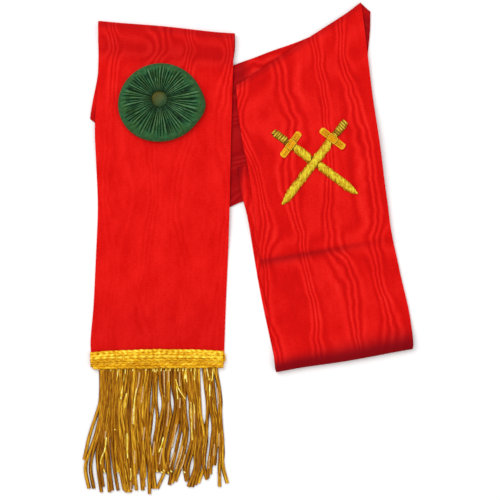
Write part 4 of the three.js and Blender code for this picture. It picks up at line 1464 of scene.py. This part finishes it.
def satin(bar, first, last, angle, rng, spill=0.35):
    """Slanting satin stitches over a bar, a little uneven at its edges, with painted shade towards both
    edges and more on its left side.
    """
    paths = []
    slope = 1 / math.tan(math.radians(angle))
    for at in np.arange(first, last, SATIN_SPACING):
        at = at + rng.normal() * SATIN_SPACING * 0.25
        turn = np.linspace(-1, 1, 9)
        half = bar.width(at) / 2
        low_end = half + rng.normal() * spill * 0.6
        high_end = half + rng.normal() * spill * 0.6
        aside = np.where(turn < 0, turn * low_end, turn * high_end)
        along = at + aside * slope
        inside = (along >= first - 0.1) & (along <= last + 0.1)
        if inside.sum() < SHORTEST_STITCH:
            continue
        along, aside = along[inside], aside[inside]
        half_there = bar.width(along) / 2
        aside = np.clip(aside, -half_there - spill, half_there + spill)
        out = aside / np.maximum(half_there, 0.3)
        # Painted shade towards the bar's edges, stronger on its left side
        shade = 0.85 + 0.2 * rng.normal() - 0.55 * np.abs(out) ** 2.5 - 0.3 * np.clip(-out, 0, 1)
        paths.append(bar.stitch(along, aside, np.clip(shade, 0, 1), 0.8 + 0.4 * rng.random(), 0.02))
    return paths


def blade(name, bar, first, last, angle, rng):
    """Satin stitches over a padded blade, with looser stitches on top."""
    core = padding(name + "_padding", bar, BLADE)
    stitches = satin(bar, first, last, angle, rng)
    threads = sweep(name + "_stitches", stitches, BLADE, SATIN_RADIUS)
    loose = []
    for _ in range(int((last - first) * 1.3)):
        at = rng.uniform(first + 1, last - 2)
        half = bar.width(at) / 2
        centre = rng.uniform(-0.75, 0.75) * half
        reach = rng.uniform(0.3, 0.6) * half
        aside = centre + np.linspace(-reach, reach, 5)
        slope = 1 / math.tan(math.radians(angle * rng.uniform(0.75, 1.1)))
        along = np.clip(at + (aside - centre) * slope, first, last)
        # Painted shade towards the blade's edges
        shade = np.clip(0.8 - 0.5 * abs(centre / half) + 0.25 * rng.normal(), 0, 1)
        loose.append(bar.stitch(along, aside, shade, 1.0, 0.2))
    flecks = sweep(name + "_flecks", loose, BLADE, FLECK_RADIUS)
    return joined(name, [core, threads, flecks])


def grip(name, bar, rng):
    """A padded grip wound with gold cord, with dark cords between its turns for painted shade in the gaps.
    """
    core = padding(name + "_padding", bar, GAP_SHADE_THREAD, 0.35)
    gold, dark = [], []
    for at in WINDING_PITCH * np.arange(WINDINGS) + 0.6:
        # The second set of cords is painted shade in the gaps between the gold turns
        for shift, paths, spill, lift in ((0.0, gold, 0.15, -0.1), (1.0, dark, -0.1, -0.45)):
            half = bar.width(at + shift) / 2 + spill
            aside = np.linspace(-half, half, 11)
            along = at + shift + aside * 0.16 + 0.12 * rng.normal()
            inside = (along > 0.1) & (along < GRIP_LENGTH - 0.2)
            if inside.sum() < SHORTEST_STITCH:
                continue
            shade = np.clip(0.7 + 0.25 * rng.normal() + 0.25 * np.cos(aside * 1.3 + rng.normal()), 0, 1)
            paths.append(bar.stitch(along[inside], aside[inside], shade[inside], 1.0, lift))
    cords = sweep(name + "_cords", gold, WOUND_GOLD, CORD_RADIUS, 10, CORD_PLIES, 0.14, 2.6)
    gap_shades = sweep(name + "_darks", dark, GAP_SHADE_THREAD, GAP_SHADE_CORD_RADIUS)
    return joined(name, [core, cords, gap_shades])


def guard(name, bar, rng):
    """Lengthwise threads on both arms and on a framed middle block."""
    core = padding(name + "_padding", bar, GUARD, 0.3)
    paths = []
    half_length = GUARD_LENGTH / 2
    half_block = GUARD_BLOCK / 2
    edge = GUARD_WIDTH / 2 - 0.35
    arm_edge = edge - GUARD_BLOCK_EXTRA / 2

    def across(at, shade, girth, lift):
        """A thread across the guard from edge to edge."""
        return bar.stitch(at, np.linspace(-edge, edge, 9), shade, girth, lift)

    for side in (-1, 1):
        for aside in np.linspace(-arm_edge, arm_edge, 10):
            near = half_length + side * (half_block + 0.45)
            end = half_length + side * (half_length - 0.3 - ROUND_END * abs(aside / arm_edge) ** 3)
            along = np.linspace(near, end, 8)
            shade = 0.8 if abs(aside) > arm_edge - 0.1 else 0.6 * rng.random()
            paths.append(bar.stitch(along, aside + 0.06 * rng.normal(), shade))
        turn = np.linspace(-1, 1, 13)
        for inset, girth in ((0.35, 1.0), (1.3, 0.8)):
            along = half_length + side * (half_length - inset - ROUND_END * abs(turn) ** 3)
            paths.append(bar.stitch(along, turn * (arm_edge - 0.1), 0.9, girth, 0.15))
        paths.append(across(half_length + side * half_block, 0.95, 1.2, 0.2))
    for aside in np.linspace(-edge, edge, 11):
        along = np.linspace(half_length - half_block + 0.3, half_length + half_block - 0.3, 8)
        shade = 0.95 if abs(aside) > edge - 0.1 else 0.6 * rng.random()
        paths.append(bar.stitch(along, aside, shade, 1.0, 0.1))
    threads = sweep(name + "_threads", paths, GUARD, GUARD_THREAD_RADIUS)
    # Dark threads across the gaps beside the middle block: painted shade in those gaps
    gaps = [across(half_length + side * (half_block + 0.42), 0.6, 0.9, 0.25) for side in (-1, 1)]
    block_gap_shades = sweep(name + "_seams", gaps, GAP_SHADE_THREAD, GUARD_GAP_SHADE_RADIUS)
    return joined(name, [core, threads, block_gap_shades])


def sword_bars(sign):
    """The bars of a sword's grip and guard. The sign says to which side of the panel it leans."""
    way = SWORDS_WAY + sign * SWORDS_CROSS_ANGLE
    pommel = swords_centre - direction(way) * crossing_at
    middle = pommel + direction(way) * (guard_start + GUARD_WIDTH / 2)
    grip_bar = Bar(pommel, way, [
        (0, GRIP_WIDTH * 0.62, GRIP_HEIGHT * 0.7), (1.3, GRIP_WIDTH * 0.98, GRIP_HEIGHT * 0.95),
        (GRIP_LENGTH, GRIP_WIDTH * 0.96, GRIP_HEIGHT),
    ])
    inner = GUARD_WIDTH - GUARD_BLOCK_EXTRA
    arm = GUARD_HEIGHT * 0.85
    half, block = GUARD_LENGTH / 2, GUARD_BLOCK / 2
    guard_bar = Bar(middle - direction(way + 90) * half, way + 90, [
        (0, inner * 0.6, arm * 0.6), (1.1, inner, arm), (half - block, inner, arm),
        (half - block + 0.3, GUARD_WIDTH, GUARD_HEIGHT), (half + block - 0.3, GUARD_WIDTH, GUARD_HEIGHT),
        (half + block, inner, arm), (GUARD_LENGTH - 1.1, inner, arm),
        (GUARD_LENGTH, inner * 0.6, arm * 0.6),
    ])
    return pommel, way, grip_bar, guard_bar


def blade_bar(pommel, way, first, last):
    shoulder = SWORD_LENGTH - TIP_LENGTH
    table = [(first, BLADE_WIDTH, BLADE_HEIGHT)]
    if last < shoulder:
        table.append((last, BLADE_WIDTH, BLADE_HEIGHT))
    else:
        table += [
            (shoulder, BLADE_WIDTH, BLADE_HEIGHT),
            (SWORD_LENGTH - TIP_LENGTH * 0.45, BLADE_WIDTH * 0.7, BLADE_HEIGHT * 0.9),
            (SWORD_LENGTH, BLADE_WIDTH * 0.16, BLADE_HEIGHT * 0.5),
        ]
    return Bar(pommel, way, table)


# Each sword: the sign of its lean, its stitches' slant in degrees, and the stretches of its blade
SWORDS = {
    "over": (-1, 38, {"blade": (blade_start, SWORD_LENGTH)}),
    "under": (1, -48, {
        "blade_upper": (blade_start, crossing_at - crossing_half),
        "blade_lower": (crossing_at + crossing_half, SWORD_LENGTH),
    }),
}


def swords():
    rng = np.random.default_rng(SWORDS_SEED)
    pieces = {}
    for sword, (sign, slant, blades) in SWORDS.items():
        pommel, way, grip_bar, guard_bar = sword_bars(sign)
        pieces[f"sword_{sword}_grip"] = grip(f"{sword}_grip_winding", grip_bar, rng)
        pieces[f"sword_{sword}_guard"] = guard(f"{sword}_guard_stitches", guard_bar, rng)
        for part, (first, last) in blades.items():
            bar = blade_bar(pommel, way, first, last)
            name = f"{sword}_{part}_stitches"
            pieces[f"sword_{sword}_{part}"] = blade(name, bar, first, last, slant, rng)
    return pieces


sword_pieces = swords()


# Floor

FLOOR_REACH = 2500


def make_floor():
    plaster = Finish("pale_floor")
    cloud = plaster.noise(plaster.object_place(), 3)
    plaster.wear("Base Color", plaster.ramp(cloud, (0.3, 0.94), (0.7, 0.96)))
    plaster.wear("Roughness", 0.9)
    corners = [(x * FLOOR_REACH, y * FLOOR_REACH, 0) for x, y in ((-1, -1), (1, -1), (1, 1), (-1, 1))]
    floor = mesh_object("floor", corners, [(0, 1, 2, 3)], [plaster.material], smooth=False)


make_floor()


# What each piece stands for

dressed = [
    (ribbon_piece, "ribbon_band", "ribbon"),
    (rosette_piece, "rosette_pleats", "rosette"),
    (button_piece, "rosette_button", "button"),
    (braid_piece, "fringe_braid", "braid"),
    (fringe_piece, "fringe_strands", "fringe"),
] + [(piece, node, "embroidery") for node, piece in sword_pieces.items()]

for piece, node, slot in dressed:
    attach(piece, "root")
    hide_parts(node)
